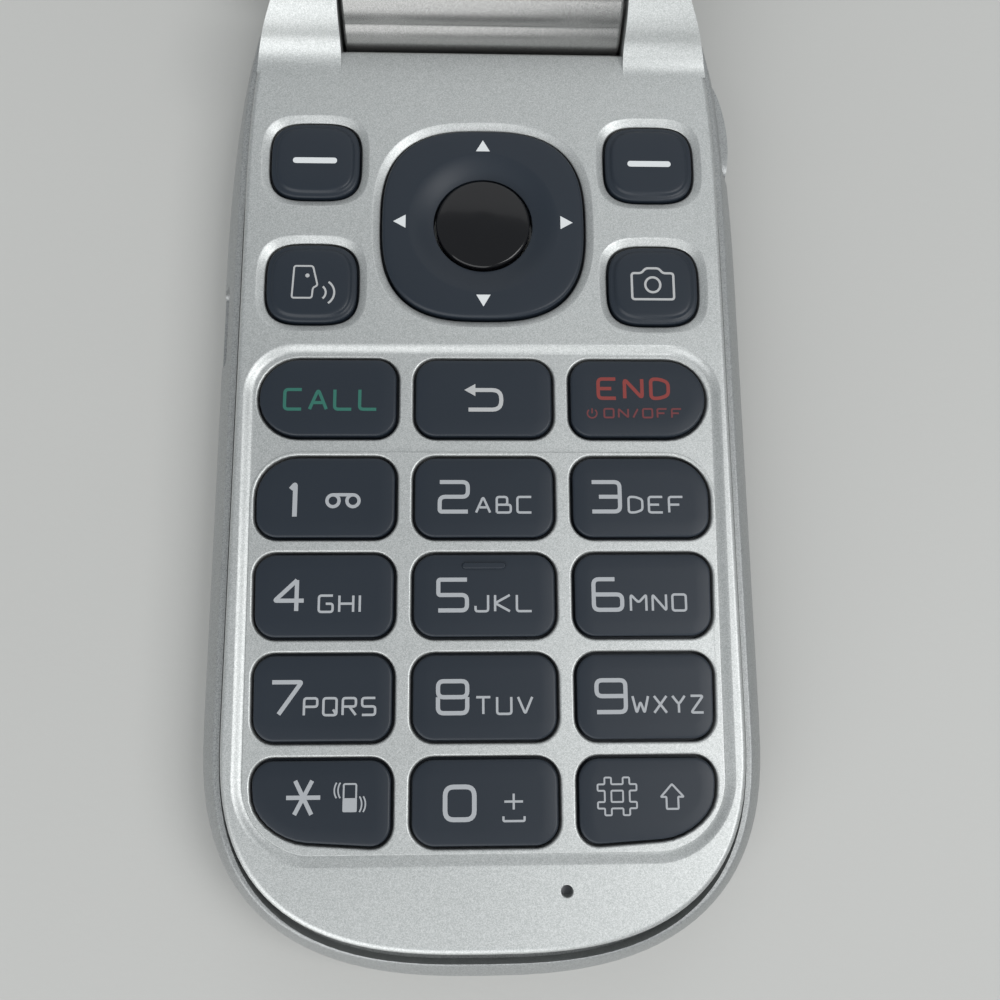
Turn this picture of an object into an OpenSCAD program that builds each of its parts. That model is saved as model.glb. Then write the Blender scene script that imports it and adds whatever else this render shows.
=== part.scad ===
// Clamshell mobile phone: keypad base, hinged display lid, separate keys and the parts inside.
// +X is to the right, +Y towards the hinge, +Z up. The origin is the centre of the face it rests on.
// Everything is drawn with the lid closed, and the lid's pieces are then swung open about the hinge.

/* [Base shell] */
// Greatest width of the base
base_w = 51; // [50:0.5:56]
// From the lowest key hole to the chin end
chin_lip = 11.11; // [10.2:0.01:14]
// Reach of the hinge axis from the origin
hinge_y = 43.8; // [43:0.1:47]
// Height of the widest line of the side
belt_z = 5.4; // [5:0.1:6]
// Height of the deck that the keys stand in
deck_z = 10.6; // [10.4:0.1:12]
// Thickness of the deck
deck_t = 1.4; // [1.1:0.1:1.6]
// How far the deck's edge lies inside the widest line
deck_inset = 2.6; // [2.4:0.1:3.2]
// The same at the chin
deck_chin_inset = 2.8; // [2.4:0.1:3.2]
// Drop from the deck to the rim of the rear housing
rim_drop = 1.4; // [1:0.1:1.8]
// Groove between the deck's edge and that rim, at the sides
groove_side = 0.3; // [0.15:0.05:0.5]
// The same groove at the chin
groove_chin = 1; // [0.3:0.1:1.2]
// How far the resting face lies inside the widest line
foot_inset = 5; // [3:0.5:7]
// Shell wall
wall = 1.2; // [0.9:0.1:1.4]
// Height of the joint between battery cover and rear housing
cover_z = 4.8; // [4.4:0.1:5]
// From the hinge axis to the end of the battery cover
cover_room = 8.2; // [7.6:0.1:8.6]
// Clearance between shells
seam = 0.1; // [0.05:0.05:0.2]

/* [Keypad] */
// From the deck's edge to the outer keys' holes
key_margin = 1.975; // [1.8:0.025:2.4]
// How far the keypad's sides draw in from its top to its lower end
key_taper = 0.9; // [0:0.1:1]
// Bar between two columns of keys
key_bar = 1.35; // [1.1:0.05:2]
// Height of a number key's hole
key_h = 7.8; // [6.5:0.1:8]
// Spacing of the number rows
key_pitch_y = 8.93; // [8.8:0.01:9]
// From the first number row up to the call row
call_pitch_y = 9.43; // [9.3:0.01:9.6]
// From the call row up to the navigation ring
ring_pitch_y = 17.52; // [17.2:0.01:18]
// Corner radius of a number key
key_r = 2.1; // [1:0.1:2.6]
// Large corner radius of the keys at the pad's corners
sweep_r = 5.2; // [3:0.1:5.4]
// Gap round a key
key_gap = 0.25; // [0.15:0.05:0.35]
// Travel of a key
key_travel = 0.35; // [0.2:0.05:0.35]
// Depth of the keypad's shallow recess
recess = 0.4; // [0.2:0.05:0.5]
// How far the keys stand above their field
key_stand = 0.2; // [0.05:0.05:0.3]
// Height of a soft key's hole
soft_h = 8.3; // [7:0.1:8.6]
// From the deck's edge to the soft keys' holes
soft_margin = 2.15; // [2:0.05:2.5]
// Width of the navigation ring's hole
ring_w = 19.9; // [18:0.1:21]
// From the soft keys' holes to the ring's hole
soft_bar = 1.8; // [1.4:0.1:3]
// From the hinge axis to the upper pair of soft keys
soft_room = 17.9; // [17.5:0.1:18.5]
// Spacing of the two pairs of soft keys
soft_pitch_y = 12.7; // [12:0.1:13]
// Diameter of the hole in the ring
ok_d = 9.6; // [8.5:0.1:10.5]
// Diameter of the microphone hole
mic_d = 1; // [0.7:0.1:1.4]

/* [Hinge] */
// Radius of the lid's hinge barrel
barrel_r = 5.5; // [5:0.1:5.6]
// From the base's side to the opening between the ears
ear_room = 11.5; // [10.5:0.5:12.5]
// Gap at each end of the barrel
barrel_gap = 0.3; // [0.1:0.05:0.5]
// Radius of the ears
ear_r = 5.9; // [5.7:0.1:6.1]
// Gap between the barrel and its trough
trough_gap = 0.45; // [0.3:0.05:0.6]
// Radius of the bore through the barrel
barrel_bore_r = 3.2; // [3:0.1:3.4]
// Radius of the hinge shaft
shaft_r = 1.5; // [1.2:0.1:1.8]
// Radial clearance of the running fits
run_gap = 0.05; // [0.02:0.01:0.09]
// How far the lid opens from closed
open_angle = 160; // [150:1:165]

/* [Lid] */
// Thickness of the lid
lid_t = 7.6; // [7.2:0.1:9]
// Gap between the closed lid and the deck
lid_gap = 0.55; // [0.45:0.05:0.8]
// How far the lid's edge lies inside the base's
lid_side = 0.2; // [0:0.1:0.6]
// Width of the display window
window_w = 41; // [38:0.5:42]
// Length of the display window
window_h = 55; // [50:0.5:58]
// Thickness of the display window
window_t = 1; // [0.7:0.1:1.2]
// Width of the outer display's window
sub_w = 29; // [24:0.5:31]
// Length of the outer display's window
sub_h = 33; // [26:0.5:35]
// Diameter of the camera window
lens_d = 8; // [6:0.5:9]

/* [Inside] */
// From the base's side to the battery
battery_side = 8.5; // [8:0.5:10.5]
// Battery length
battery_l = 50; // [44:0.5:50.5]
// Battery thickness
battery_t = 3.8; // [3:0.1:3.9]
// Board thickness
board_t = 0.8; // [0.6:0.1:1]
// Width of the connector's mouth
port_w = 7; // [6.6:0.1:7.6]
// Height of the connector's mouth
port_h = 1.8; // [1.6:0.1:2]

/* [Hidden] */
NUMBER_KEYS = ["key_1", "key_2", "key_3", "key_4", "key_5", "key_6",
    "key_7", "key_8", "key_9", "key_star", "key_0", "key_hash"];
CALL_KEYS = ["call_key", "back_key", "end_key"];
SOFT_KEYS = ["soft_left_key", "soft_right_key", "voice_key", "camera_key"];
$fn = 48;
e = 0.01;
far = 200;
silver = "silver";
slate = [0.24, 0.26, 0.31];

// Plan outline of the body: chin corners, long sides and the drawn-in hinge end
chin_steps = 10;
side_steps = 5;
corner_steps = 4;
chin_curve = 21.9;
shoulder_y = 15;
shoulder_in = 3.4;
corner_r = 3;
belt_n = 2.6;
deck_n = 2.8;
belt_ease = 2;
deck_ease = 4;

// Lengths that follow from the driving values
deck_w = base_w - 2 * deck_inset;
ear_x = base_w / 2 - ear_room;
bay_room = 31.5;
bay_end_y = hinge_y - bay_room;
bay_gap = 0.3;
battery_w = base_w - 2 * battery_side;
bay_w = battery_w + 2 * bay_gap;
bay_l = battery_l + 2 * bay_gap;
bay_y = bay_end_y - bay_l;
bay_wall = 0.8;
key_w = (deck_w - 2 * key_margin - 2 * key_bar) / 3;
key_pitch_x = key_w + key_bar;
soft_w = deck_w / 2 - soft_margin - soft_bar - ring_w / 2;
soft_x = deck_w / 2 - soft_margin - soft_w / 2;
soft_y = hinge_y - soft_room;
voice_y = soft_y - soft_pitch_y;
ring_y = (soft_y + voice_y) / 2 - 0.1;
call_row_y = ring_y - ring_pitch_y;
row_1_y = call_row_y - call_pitch_y;
keys_end_y = row_1_y - 3 * key_pitch_y - key_h / 2;
bay_chin = 11;
chin_y = max(chin_lip - keys_end_y, bay_chin - bay_y);
chin_start_y = chin_y - chin_curve;
deck_chin = chin_y - deck_chin_inset;
cover_end_y = hinge_y - cover_room;
lid_w = base_w - 2 * lid_side;
lid_end_gap = 0.3;
lid_end_y = chin_y - lid_end_gap;

// Heights in the base, from the resting face up
hinge_z = deck_z + 0.1;
rim_z = deck_z - rim_drop;
deck_under_z = deck_z - deck_t;
pad_z = deck_z - recess;
floor_t = 1.2;
slide_gap = 0.2;
battery_z = floor_t + slide_gap;
plate_z = battery_z + battery_t + 0.05;
plate_t = 0.5;
under_board = 1.25;
board_z = plate_z + plate_t + under_board;
board_top_z = board_z + board_t;
dome_t = 0.15;
mat_t = 0.4;
mat_z = board_top_z + dome_t;
mat_top_z = mat_z + mat_t;
flange_gap = 0.05;
flange_t = 0.3;
flange_top_z = deck_under_z - flange_gap;
flange_z = flange_top_z - flange_t;
flange_out = 0.4;
flange_side = 0.12;
key_bevel = 0.25;
soft_bevel = 0.6;
ear_skin = 0.03;
ear_lean = 1.5;
skirt_z = 7.1;
end_y = hinge_y + ear_r;
end_z = hinge_z + ear_r + e;
trough_r = barrel_r + trough_gap;
pocket_end_y = hinge_y - trough_r - wall;

// Board, dome film and silicone mat
plate_ledge = 1;
board_gap = 0.3;
mat_side = 3.6;
mat_half_w = deck_w / 2 - mat_side;
mat_edge = 0.35;
mat_top_y = max(soft_y + soft_h / 2 + mat_edge, ring_y + ring_w / 2 + 1);
mat_bottom_y = keys_end_y - mat_edge;

// Screws: two by the chin and two by the hinge
screw_r = 0.8;
screw_head_r = 1.5;
screw_head_t = 0.9;
screw_clear = 0.2;
boss_r = 1.9;
screw_z = cover_z + 0.1;
screw_tip_z = deck_under_z + 0.5;
screw_side = 5.4;
screw_end = 3.85;
chin_screw_side = 9.9;
chin_screw_end = 7.4;
SCREWS = [for (s = [-1, 1]) each [[s * (deck_w / 2 - chin_screw_side), chin_screw_end - chin_y],
    [s * (deck_w / 2 - screw_side), pocket_end_y - screw_end]]];

// Parts under the board: contacts, shield cans, loudspeaker, motor, SIM holder and antenna
contact_side = 13.5;
contact_x = contact_side - base_w / 2;
contact_w = 9;
contact_h = 3;
contact_n = 4;
contact_gap = 0.2;
can_gap = 0.05;
can_x = -14;
can_w = 26;
can_room = 1;
can_l = 19;
can_pitch = 21;
can_end = 5.3;
can_y = bay_y + can_end;
CANS = [[can_y + can_pitch, can_y + can_pitch + can_l], [can_y, can_y + can_l]];
speaker_side = 16;
speaker_x = base_w / 2 - speaker_side;
speaker_room = 11.2;
speaker_y = bay_end_y + speaker_room;
speaker_r = 6.8;
speaker_h = 3.2;
slot_l = 7;
slot_w = 0.9;
motor_r = 1.7;
motor_side = 10.9;
motor_x = motor_side - base_w / 2;
motor_l = 8.6;
motor_room = 18.3;
motor_y = bay_end_y + motor_room;
sim_side = 10.5;
sim_x = sim_side - base_w / 2;
sim_gap = 2.7;
sim_w = speaker_x - speaker_r - sim_gap - sim_x;
sim_room = 3.1;
sim_y = bay_end_y + sim_room;
sim_l = 12.6;
sim_t = 1.5;
antenna_gap = 3.5;
antenna_w = deck_w - 2 * chin_screw_side - 2 * antenna_gap;
antenna_end = 4.5;
antenna_y = antenna_end - chin_y;
antenna_l = 3.6;
antenna_t = 0.35;

// Microphone, behind its hole in the deck
mic_side = 16;
mic_x = deck_w / 2 - mic_side;
mic_end = 5;
mic_y = mic_end - deck_chin;
mic_r = 2;

// Side connector and rocker
port_room = 2.3;
port_y = bay_end_y - port_room;
port_wall = 0.3;
port_depth = 5.4;
port_gap = 0.2;
port_z = board_top_z - port_h / 2 - port_wall;
port_x = base_w / 2 - 1.1;
rocker_l = 10.6;
rocker_h = 3;
rocker_room = 12.8;
rocker_y = hinge_y - rocker_room;
rocker_z = board_z;
rocker_proud = 0.5;
rocker_in = 2.6;
rocker_gap = 0.25;
rocker_edge = 0.35;
rocker_side_x = base_w / 2
    - shoulder_in * pow((rocker_y - shoulder_y) / (end_y - corner_r - shoulder_y), belt_ease);
rocker_face_x = rocker_side_x + rocker_proud;
rocker_back_x = rocker_face_x - rocker_in;
rocker_turn = atan(2 * shoulder_in * (rocker_y - shoulder_y) / pow(end_y - corner_r - shoulder_y, 2));

// Rocker switch behind the side key
switch_gap = 0.15;
switch_l = 7.2;
switch_x = rocker_back_x - 3;
switch_top_z = 8.35;

// Keypad recess
recess_slope = 1;
recess_r = 3.9;
recess_end = 0.65;
field_r = sweep_r - 0.8;
recess_end_r = sweep_r + 0.8;
field_rise = 0.15;
bow = 0.5;
lower_bow = 0.7;
recess_top_y = call_row_y + key_h / 2 + 0.4;
recess_bottom_y = keys_end_y - recess_end;
recess_half_w = key_pitch_x + key_w / 2 + 0.35;
taper_y = row_1_y + key_h / 2;
taper_l = taper_y - keys_end_y;

// Hinge parts: the right ear holds the keyed shaft, the left ear the bush
ear_bore = 4;
shaft_key_r = 2.6;
shaft_key_t = 3.6;
shaft_l = 11;
shaft_end_x = ear_x - shaft_l;
cam_l = 15;
cam_x = ear_x - cam_l;
bush_l = 6;
bush_x = bush_l - ear_x;
bush_t = 0.9;
flex_z = 1.75;
flex_t = 0.3;
flex_gap = 0.2;
flex_x = [bush_x + 0.5, cam_x - 0.5];
flex_room = 13.8;
flex_end_y = hinge_y - flex_room;
fillet_r = 3;

// Navigation ring
ring_n = 2.8;
soft_n = 3.4;
ring_rise = 0.15;
ring_flange_gap = 0.45;
ok_gap = 0.25;
key_step = 0.2;

// Lid, closed
lid_z = deck_z + lid_gap;
lid_belt_z = lid_z + 2.6;
lid_top_z = lid_z + lid_t;
lid_edge_in = 2.4;
lid_top_in = 6;
root_room = 4.5;
lid_root_y = hinge_y - root_room;
lid_wall = 1.1;
lid_inner_t = 1.2;
barrel_x = ear_x - barrel_gap;
ear_clear = 0.6;
window_end = 13.5;
window_y = window_end - lid_end_y;
window_gap = 0.15;
window_z = lid_z + 0.1;
panel_t = 2;
lens_room = 11.3;
lens_y = lid_root_y - lens_room;
sub_room = 9;
sub_y = lens_y - sub_room - sub_h;
sub_t = 1;
lid_board_z = window_z + window_t + panel_t + 0.1;
lid_screw_t = 1.1;
lid_boss_r = 2.2;
lid_board_t = 0.6;
lid_board_side = 7.9;
lid_board_end = 10.6;
lid_board_root = 5.3;
lid_screw_tip_z = lid_belt_z + 2.4;
bumper_r = 1.5;
sink = 0.4;
earpiece_end = 8.4;
earpiece_y = earpiece_end - lid_end_y;
earpiece_w = 9;
magnet = [4, 2.6, 1.5];
earpiece_rim = 1.5;
magnet_x = earpiece_w / 2 + 2 * earpiece_rim;
magnet_end = 6;
magnet_y = magnet_end - lid_end_y;
lid_screw_side = 8.8;
lid_screw_end = 9.8;
root_screw_side = 7.8;
root_screw_end = 9.3;
LID_SCREWS = [for (s = [-1, 1]) each [[s * (lid_w / 2 - lid_screw_side), lid_screw_end - lid_end_y],
    [s * (lid_w / 2 - root_screw_side), lid_root_y - root_screw_end]]];
bumper_side = 9.8;
bumper_end = 5.5;
BUMPERS = [for (s = [-1, 1]) [s * (lid_w / 2 - bumper_side), bumper_end - lid_end_y]];

function signed_pow(v, p) = sign(v) * pow(abs(v), p);
function mix(a, b, f) = a + (b - a) * f;

// Closed superellipse outline about the origin
function squircle(a, b, n, steps = 48) = [for (i = [0:steps - 1]) let (t = 360 * i / steps)
    [a * signed_pow(cos(t), 2 / n), b * signed_pow(sin(t), 2 / n)]];

// Rounded rectangle about the origin, with radii [bottom left, bottom right, top right, top left]
function rounded(w, h, r, steps = 6) = [for (c = [0:3], i = [0:steps])
    let (t = 180 + 90 * c + 90 * i / steps, q = r[c],
        x = (c == 1 || c == 2 ? 1 : -1) * (w / 2 - q), y = (c > 1 ? 1 : -1) * (h / 2 - q))
    [x + q * cos(t), y + q * sin(t)]];

// Right half of the plan outline, from the middle of the chin to the middle of the hinge end
function half_plan(half_w, chin, n, ease, end) = concat(
    [for (i = [0:chin_steps]) let (t = 90 * i / chin_steps)
        [half_w * pow(sin(t), 2 / n), -chin_start_y - (chin - chin_start_y) * pow(cos(t), 2 / n)]],
    [for (i = [0:side_steps]) let (u = i / side_steps)
        [half_w - shoulder_in * pow(u, ease), mix(shoulder_y, end - corner_r, u)]],
    [for (i = [1:corner_steps]) let (t = 90 * i / corner_steps)
        [half_w - shoulder_in - corner_r * (1 - cos(t)), end - corner_r * (1 - sin(t))]]);

function plan(half_w, chin, n, ease, end) = let (h = half_plan(half_w, chin, n, ease, end), m = len(h))
    concat(h, [for (i = [m - 1:-1:1]) [-h[i][0], h[i][1]]]);

// Outline of the deck, drawn in or let out by g
function deck_plan(g, chin_g, end = end_y) =
    plan(deck_w / 2 + g, deck_chin + chin_g, deck_n, deck_ease, end);

// Outline of the base drawn in by s; f blends from the belt's form to the deck's
function base_plan(s, f, end_in) = plan(base_w / 2 - s, chin_y - s, mix(belt_n, deck_n, f),
    mix(belt_ease, deck_ease, f), end_y - end_in);

// Solid through a list of [height, outline], lowest first
module loft(rings) {
    m = len(rings[0][1]);
    top = (len(rings) - 1) * m;
    polyhedron([for (r = rings, p = r[1]) [p[0], p[1], r[0]]],
        concat([[for (i = [0:m - 1]) i]], [[for (i = [m - 1:-1:0]) top + i]],
            [for (k = [0:len(rings) - 2], i = [0:m - 1])
                [k * m + i, (k + 1) * m + i, (k + 1) * m + (i + 1) % m]],
            [for (k = [0:len(rings) - 2], i = [0:m - 1])
                [k * m + i, (k + 1) * m + (i + 1) % m, k * m + (i + 1) % m]]));
}

module prism(points, z0, z1) {
    translate([0, 0, z0]) linear_extrude(z1 - z0) polygon(points);
}

module block(x, y, z) {
    translate([x[0], y[0], z[0]]) cube([x[1] - x[0], y[1] - y[0], z[1] - z[0]]);
}

module rod_x(r, x0, x1, y, z) {
    translate([x0, y, z]) rotate([0, 90, 0]) cylinder(r = r, h = x1 - x0);
}

module hinge_rod(r, x0, x1) {
    rod_x(r, x0, x1, hinge_y, hinge_z);
}

// Profile in the Y-Z plane, extruded along X
module profile_x(points, x0, x1) {
    translate([x0, 0, 0]) rotate([90, 0, 90]) linear_extrude(x1 - x0) polygon(points);
}

module swing_open() {
    translate([0, hinge_y, hinge_z]) rotate([-open_angle, 0, 0]) translate([0, -hinge_y, -hinge_z])
        children();
}

// ---- Base shells ----

foot_steps = 6;
skirt_steps = 4;
rim_in = deck_inset - groove_side - 0.55;

// Outer form of the base from the resting face to the rim, g smaller all round
module base_form(g = 0) {
    loft(concat(
        [for (i = [foot_steps:-1:0]) let (t = 90 * i / foot_steps, k = 0.8,
            s = foot_inset * (1 - pow(cos(t), k)))
            [belt_z - (belt_z - g) * pow(sin(t), k), base_plan(s + g, 0, s * 0.6 + g)]],
        [for (i = [1:skirt_steps]) let (v = i / skirt_steps)
            [mix(belt_z, rim_z, v), base_plan(rim_in * pow(v, 1.5) + g, v, g)]]));
}

function fillet_y(r) = hinge_y - sqrt(pow(ear_r + r, 2) - pow(deck_z + r - hinge_z, 2));

// The ear's side view: a round on the hinge axis with a hollow fillet down to the deck
module ear_profile() {
    r = fillet_r;
    y = fillet_y(r);
    start = atan2(hinge_z - deck_z - r, hinge_y - y);
    profile_x(concat([for (i = [0:8]) let (t = mix(-90, start, i / 8))
        [y + r * cos(t), deck_z + r + r * sin(t)]],
        [[hinge_y, hinge_z], [hinge_y, skirt_z], [y, skirt_z]]), -far / 2, far / 2);
    hinge_rod(ear_r, -far / 2, far / 2);
    block([-far / 2, far / 2], [hinge_y, end_y], [skirt_z, hinge_z]);
}

// What the barrel turns in, between the ears
module trough() {
    hinge_rod(trough_r, -ear_x, ear_x);
    block([-ear_x, ear_x], [hinge_y, far], [hinge_z - trough_r, far]);
}

// Outline of the room under the deck, drawn in by g
module pocket(g, z0, z1) {
    intersection() {
        prism(deck_plan(-wall - g, -wall - g), z0, z1);
        block([-far, far], [-far, pocket_end_y - g], [z0, z1]);
    }
}

module key_holes() {
    for (k = [0:11]) translate(number_place(k)) linear_extrude(far) polygon(number_outline(k, 0));
    for (k = [0:2]) translate(call_place(k)) linear_extrude(far) polygon(call_outline(k, 0));
    for (k = [0:3]) translate(soft_place(k)) linear_extrude(far) polygon(soft_outline(0));
    translate([0, ring_y, 0]) linear_extrude(far) polygon(ring_outline(0));
}

// Raises the lower edge of an outline h high by d towards its sides, half_w from the middle
function bowed(points, half_w, h, d) = [for (p = points)
    [p[0], p[1] + (p[1] < 0 ? d * pow(p[0] / half_w, 2) * -2 * p[1] / h : 0)]];

// Draws an outline's outer parts in below the first number row, by d at the lower end of the keypad
function tapered(points, d) = [for (p = points)
    let (out = max(0, abs(p[0]) - key_pitch_x + key_w / 2) / key_w, v = max(0, taper_y - p[1]) / taper_l)
    [p[0] - sign(p[0]) * d * out * v, p[1]]];

function field_outline(top_y, r, g) = let (h = top_y - recess_bottom_y, q = recess_end_r)
    tapered([for (p = bowed(rounded(2 * (recess_half_w + g), h + 2 * g, [q + g, q + g, r + g, r + g]),
        recess_half_w, h, lower_bow)) [p[0], p[1] + (top_y + recess_bottom_y) / 2]], key_taper / 2);

// Shallow recess round the keys, less the raised field of the number keys
module keypad_recess() {
    difference() {
        loft([for (v = [0:1])
            [pad_z + v * (recess + e), field_outline(recess_top_y, recess_r, v * recess_slope)]]);
        prism(field_outline(row_1_y + key_h / 2 + 0.4, field_r, 0.01), pad_z - e, pad_z + field_rise);
    }
}

module front_housing() {
    edge = 0.45;
    color(silver) difference() {
        union() {
            loft([[skirt_z, deck_plan(0, 0)], [deck_z - edge / 2, deck_plan(0, 0)],
                [deck_z - edge / 4, deck_plan(-edge / 4, -edge / 4)], [deck_z, deck_plan(-edge, -edge)]]);
            intersection() {
                // the ears' sides lean in towards their tops
                loft(concat([[skirt_z, deck_plan(-ear_skin, -ear_skin)]], [for (v = [0:0.2:1])
                    let (g = -ear_skin - ear_lean * pow(v, 1.5)) [mix(deck_z, end_z, v), deck_plan(g, g)]]));
                ear_profile();
                union() for (s = [-1, 1]) translate([s * far / 2 + s * ear_x, 0, far / 2])
                    cube([far, far, 2 * far], center = true);
            }
        }
        difference() {
            pocket(0, skirt_z - e, deck_under_z);
            for (p = SCREWS) translate(p) cylinder(r = boss_r, h = far);
        }
        for (p = SCREWS) translate(p) cylinder(r = boss_r + e, h = board_top_z);
        for (p = SCREWS) translate(p) cylinder(r = screw_r, h = screw_tip_z);
        trough();
        hinge_rod(barrel_bore_r - run_gap, -ear_x - ear_bore, 0);
        hinge_key(0);
        translate([0, 0, deck_under_z - e]) key_holes();
        keypad_recess();
        translate([mic_x, mic_y, deck_under_z - e]) cylinder(d = mic_d, h = far);
        side_cuts();
    }
}

// The shaft's keyed head and its seat in the right ear
module hinge_key(g) {
    intersection() {
        hinge_rod(shaft_key_r - g, ear_x - e, ear_x + ear_bore - g);
        translate([0, hinge_y, hinge_z]) cube([far, shaft_key_t - 2 * g, far], center = true);
    }
}

// Back of the rocker, its height running outwards, square to the side wall
module at_rocker() {
    translate([rocker_back_x, rocker_y, rocker_z]) rotate([0, 0, rocker_turn]) rotate([90, 0, 90])
        children();
}

// Openings through both housings' side walls for the connector and the rocker
module side_cuts() {
    w = port_w + 2 * port_wall + 2 * port_gap;
    h = port_h + 2 * port_wall + 2 * port_gap;
    translate([-far, port_y, port_z]) rotate([90, 0, 90])
        linear_extrude(far - port_x + port_depth + port_gap) polygon(rounded(w, h, [0.6, 0.6, 0.6, 0.6]));
    at_rocker() translate([0, 0, -rocker_gap]) linear_extrude(far)
        polygon(rounded(rocker_l + 2 * rocker_gap, rocker_h + 2 * rocker_gap, [1.4, 1.4, 1.4, 1.4]));
    block([switch_x - switch_gap, rocker_back_x], [rocker_y - switch_l / 2 - switch_gap,
        rocker_y + switch_l / 2 + switch_gap], [board_z - switch_gap, switch_top_z + switch_gap]);
}

module rear_housing() {
    color([0.58, 0.6, 0.6]) difference() {
        base_form();
        // what the cover takes, below its joint
        block([-far, far], [-far, cover_end_y], [-far, cover_z + seam]);
        // pocket for the deck's skirt
        prism(deck_plan(groove_side, groove_chin, hinge_y - trough_r + e), skirt_z - seam, far);
        // room for the board and what is under it
        pocket(0, board_z, far);
        difference() {
            pocket(plate_ledge, plate_z + plate_t, far);
            for (p = SCREWS) translate(p) cylinder(r = boss_r + 0.4, h = board_z);
        }
        // chambers between the bay and the outer wall
        difference() {
            prism(plan(base_w / 2 - wall - 0.6, chin_y - wall - 0.6, belt_n, belt_ease, pocket_end_y),
                -e, plate_z);
            block([-bay_w / 2 - bay_wall, bay_w / 2 + bay_wall],
                [bay_y - bay_wall, bay_end_y + bay_wall], [0, far]);
            for (p = SCREWS) translate(p) cylinder(r = boss_r + 0.4, h = board_z);
            block([-far, far], [cover_end_y, far], [-far, far]);
        }
        block([-bay_w / 2, bay_w / 2], [bay_y, bay_end_y], [-far, plate_z]);
        // room for the shield cans
        block([can_x - can_room, can_x + can_w + can_room], [CANS[1][0] - can_room, CANS[0][1] + can_room],
            [plate_z + plate_t, board_z + e]);
        for (p = SCREWS) translate(p) cylinder(r = screw_r + 0.15, h = far);
        for (p = SCREWS) translate(p) cylinder(r = screw_head_r + screw_clear, h = screw_z + screw_head_t);
        trough();
        block([-far, far], [hinge_y - e, far], [skirt_z - seam, far]);
        prism(deck_plan(0.1, 0.1, end_y + 0.1), skirt_z - seam, far);
        side_cuts();
        block([contact_x, contact_x + contact_w], [bay_end_y - e, bay_end_y + bay_wall + e], [0, plate_z]);
    }
}

module battery_cover() {
    color([0.56, 0.58, 0.58]) difference() {
        intersection() {
            base_form();
            block([-far, far], [-far, cover_end_y - seam], [-far, cover_z]);
        }
        intersection() {
            base_form(wall);
            block([-far, far], [-far, far], [floor_t, far]);
        }
        prism(plan(base_w / 2 - wall, chin_y - wall, belt_n, belt_ease, end_y), belt_z - 1.6, far);
        // sound slots below the loudspeaker
        for (i = [-2:2]) translate([speaker_x + 2.2 * slot_w * i, speaker_y, 0]) rotate([0, 0, 90])
            prism(rounded(slot_l, slot_w, [for (c = [0:3]) 0.49 * slot_w]), -e, floor_t + e);
    }
}

// ---- Inside the base ----

module battery() {
    color([0.2, 0.22, 0.26]) block([-battery_w / 2, battery_w / 2],
        [bay_y + bay_gap, bay_end_y - bay_gap], [battery_z, battery_z + battery_t]);
}

module battery_contacts() {
    w = contact_w - 2 * contact_gap;
    pitch = w / contact_n;
    color("goldenrod") difference() {
        block([contact_x + contact_gap, contact_x + contact_gap + w], [bay_end_y - bay_gap, bay_end_y + 2.4],
            [plate_z - contact_h, plate_z]);
        for (i = [0:contact_n - 1])
            translate([contact_x + contact_gap + (i + 0.25) * pitch, bay_end_y - bay_gap - e,
                plate_z - 0.8 * contact_h]) cube([pitch / 2, 0.5, 0.6 * contact_h]);
    }
}

module main_board() {
    color("darkgreen") difference() {
        pocket(board_gap, board_z, board_top_z);
        for (p = SCREWS) translate(p) cylinder(r = screw_r + 0.3, h = far);
        block([-far, -port_x + port_depth],
            [port_y - port_w / 2 - port_wall, port_y + port_w / 2 + port_wall], [0, far]);
        block([switch_x, far], [rocker_y - switch_l / 2, rocker_y + switch_l / 2], [0, far]);
    }
}

module shield_cans() {
    color([0.75, 0.75, 0.77]) for (c = CANS)
        block([can_x, can_x + can_w], c, [plate_z + plate_t + can_gap, board_z]);
}

module dome_sheet() {
    color("white") difference() {
        prism(mat_plan(flange_out), board_top_z, mat_z);
        boss_room();
    }
}

function mat_plan(g) = [for (p = rounded(2 * (mat_half_w - g), mat_top_y - mat_bottom_y - 2 * g,
    [7, 7, 3, 3])) [p[0], p[1] + (mat_top_y + mat_bottom_y) / 2]];

// Room round the deck's screw bosses
module boss_room() {
    for (p = SCREWS) translate(p) cylinder(r = boss_r + 0.2, h = far);
}

module keypad_mat() {
    color([0.85, 0.86, 0.88]) difference() {
        prism(mat_plan(0), mat_z, mat_top_z);
        translate([0, ring_y, 0]) prism(ring_outline(flange_out + bay_gap), mat_z - e, far);
        boss_room();
    }
}

module microphone() {
    color("gray") translate([mic_x, mic_y, board_top_z]) cylinder(r = mic_r, h = deck_under_z - board_top_z);
}

module loudspeaker() {
    color("dimgray") translate([speaker_x, speaker_y, plate_z - speaker_h]) difference() {
        cylinder(r = speaker_r, h = speaker_h);
        translate([0, 0, -e]) cylinder(r = 0.8 * speaker_r, h = 0.5);
    }
}

// Motor can with its half-round weight on a short shaft
module vibration_motor() {
    z = plate_z - motor_r;
    x = motor_x + motor_l;
    color("gainsboro") {
        rod_x(motor_r, motor_x, x, motor_y, z);
        rod_x(0.3 * motor_r, x, x + 0.4, motor_y, z);
        difference() {
            rod_x(0.95 * motor_r, x + 0.4, x + 3, motor_y, z);
            block([-far, far], [-far, far], [z + 0.3 * motor_r, far]);
        }
    }
}

module antenna() {
    color([0.3, 0.3, 0.3]) block([-antenna_w / 2, antenna_w / 2], [antenna_y, antenna_y + antenna_l],
        [plate_z - antenna_t, plate_z]);
}

module sim_holder() {
    lip = 0.7;
    color("lightgray") difference() {
        block([sim_x, sim_x + sim_w], [sim_y, sim_y + sim_l], [plate_z - sim_t, plate_z]);
        block([sim_x + lip, far], [sim_y + lip, sim_y + sim_l - lip],
            [plate_z - 0.8 * sim_t, plate_z - 0.3 * sim_t]);
    }
}

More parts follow.
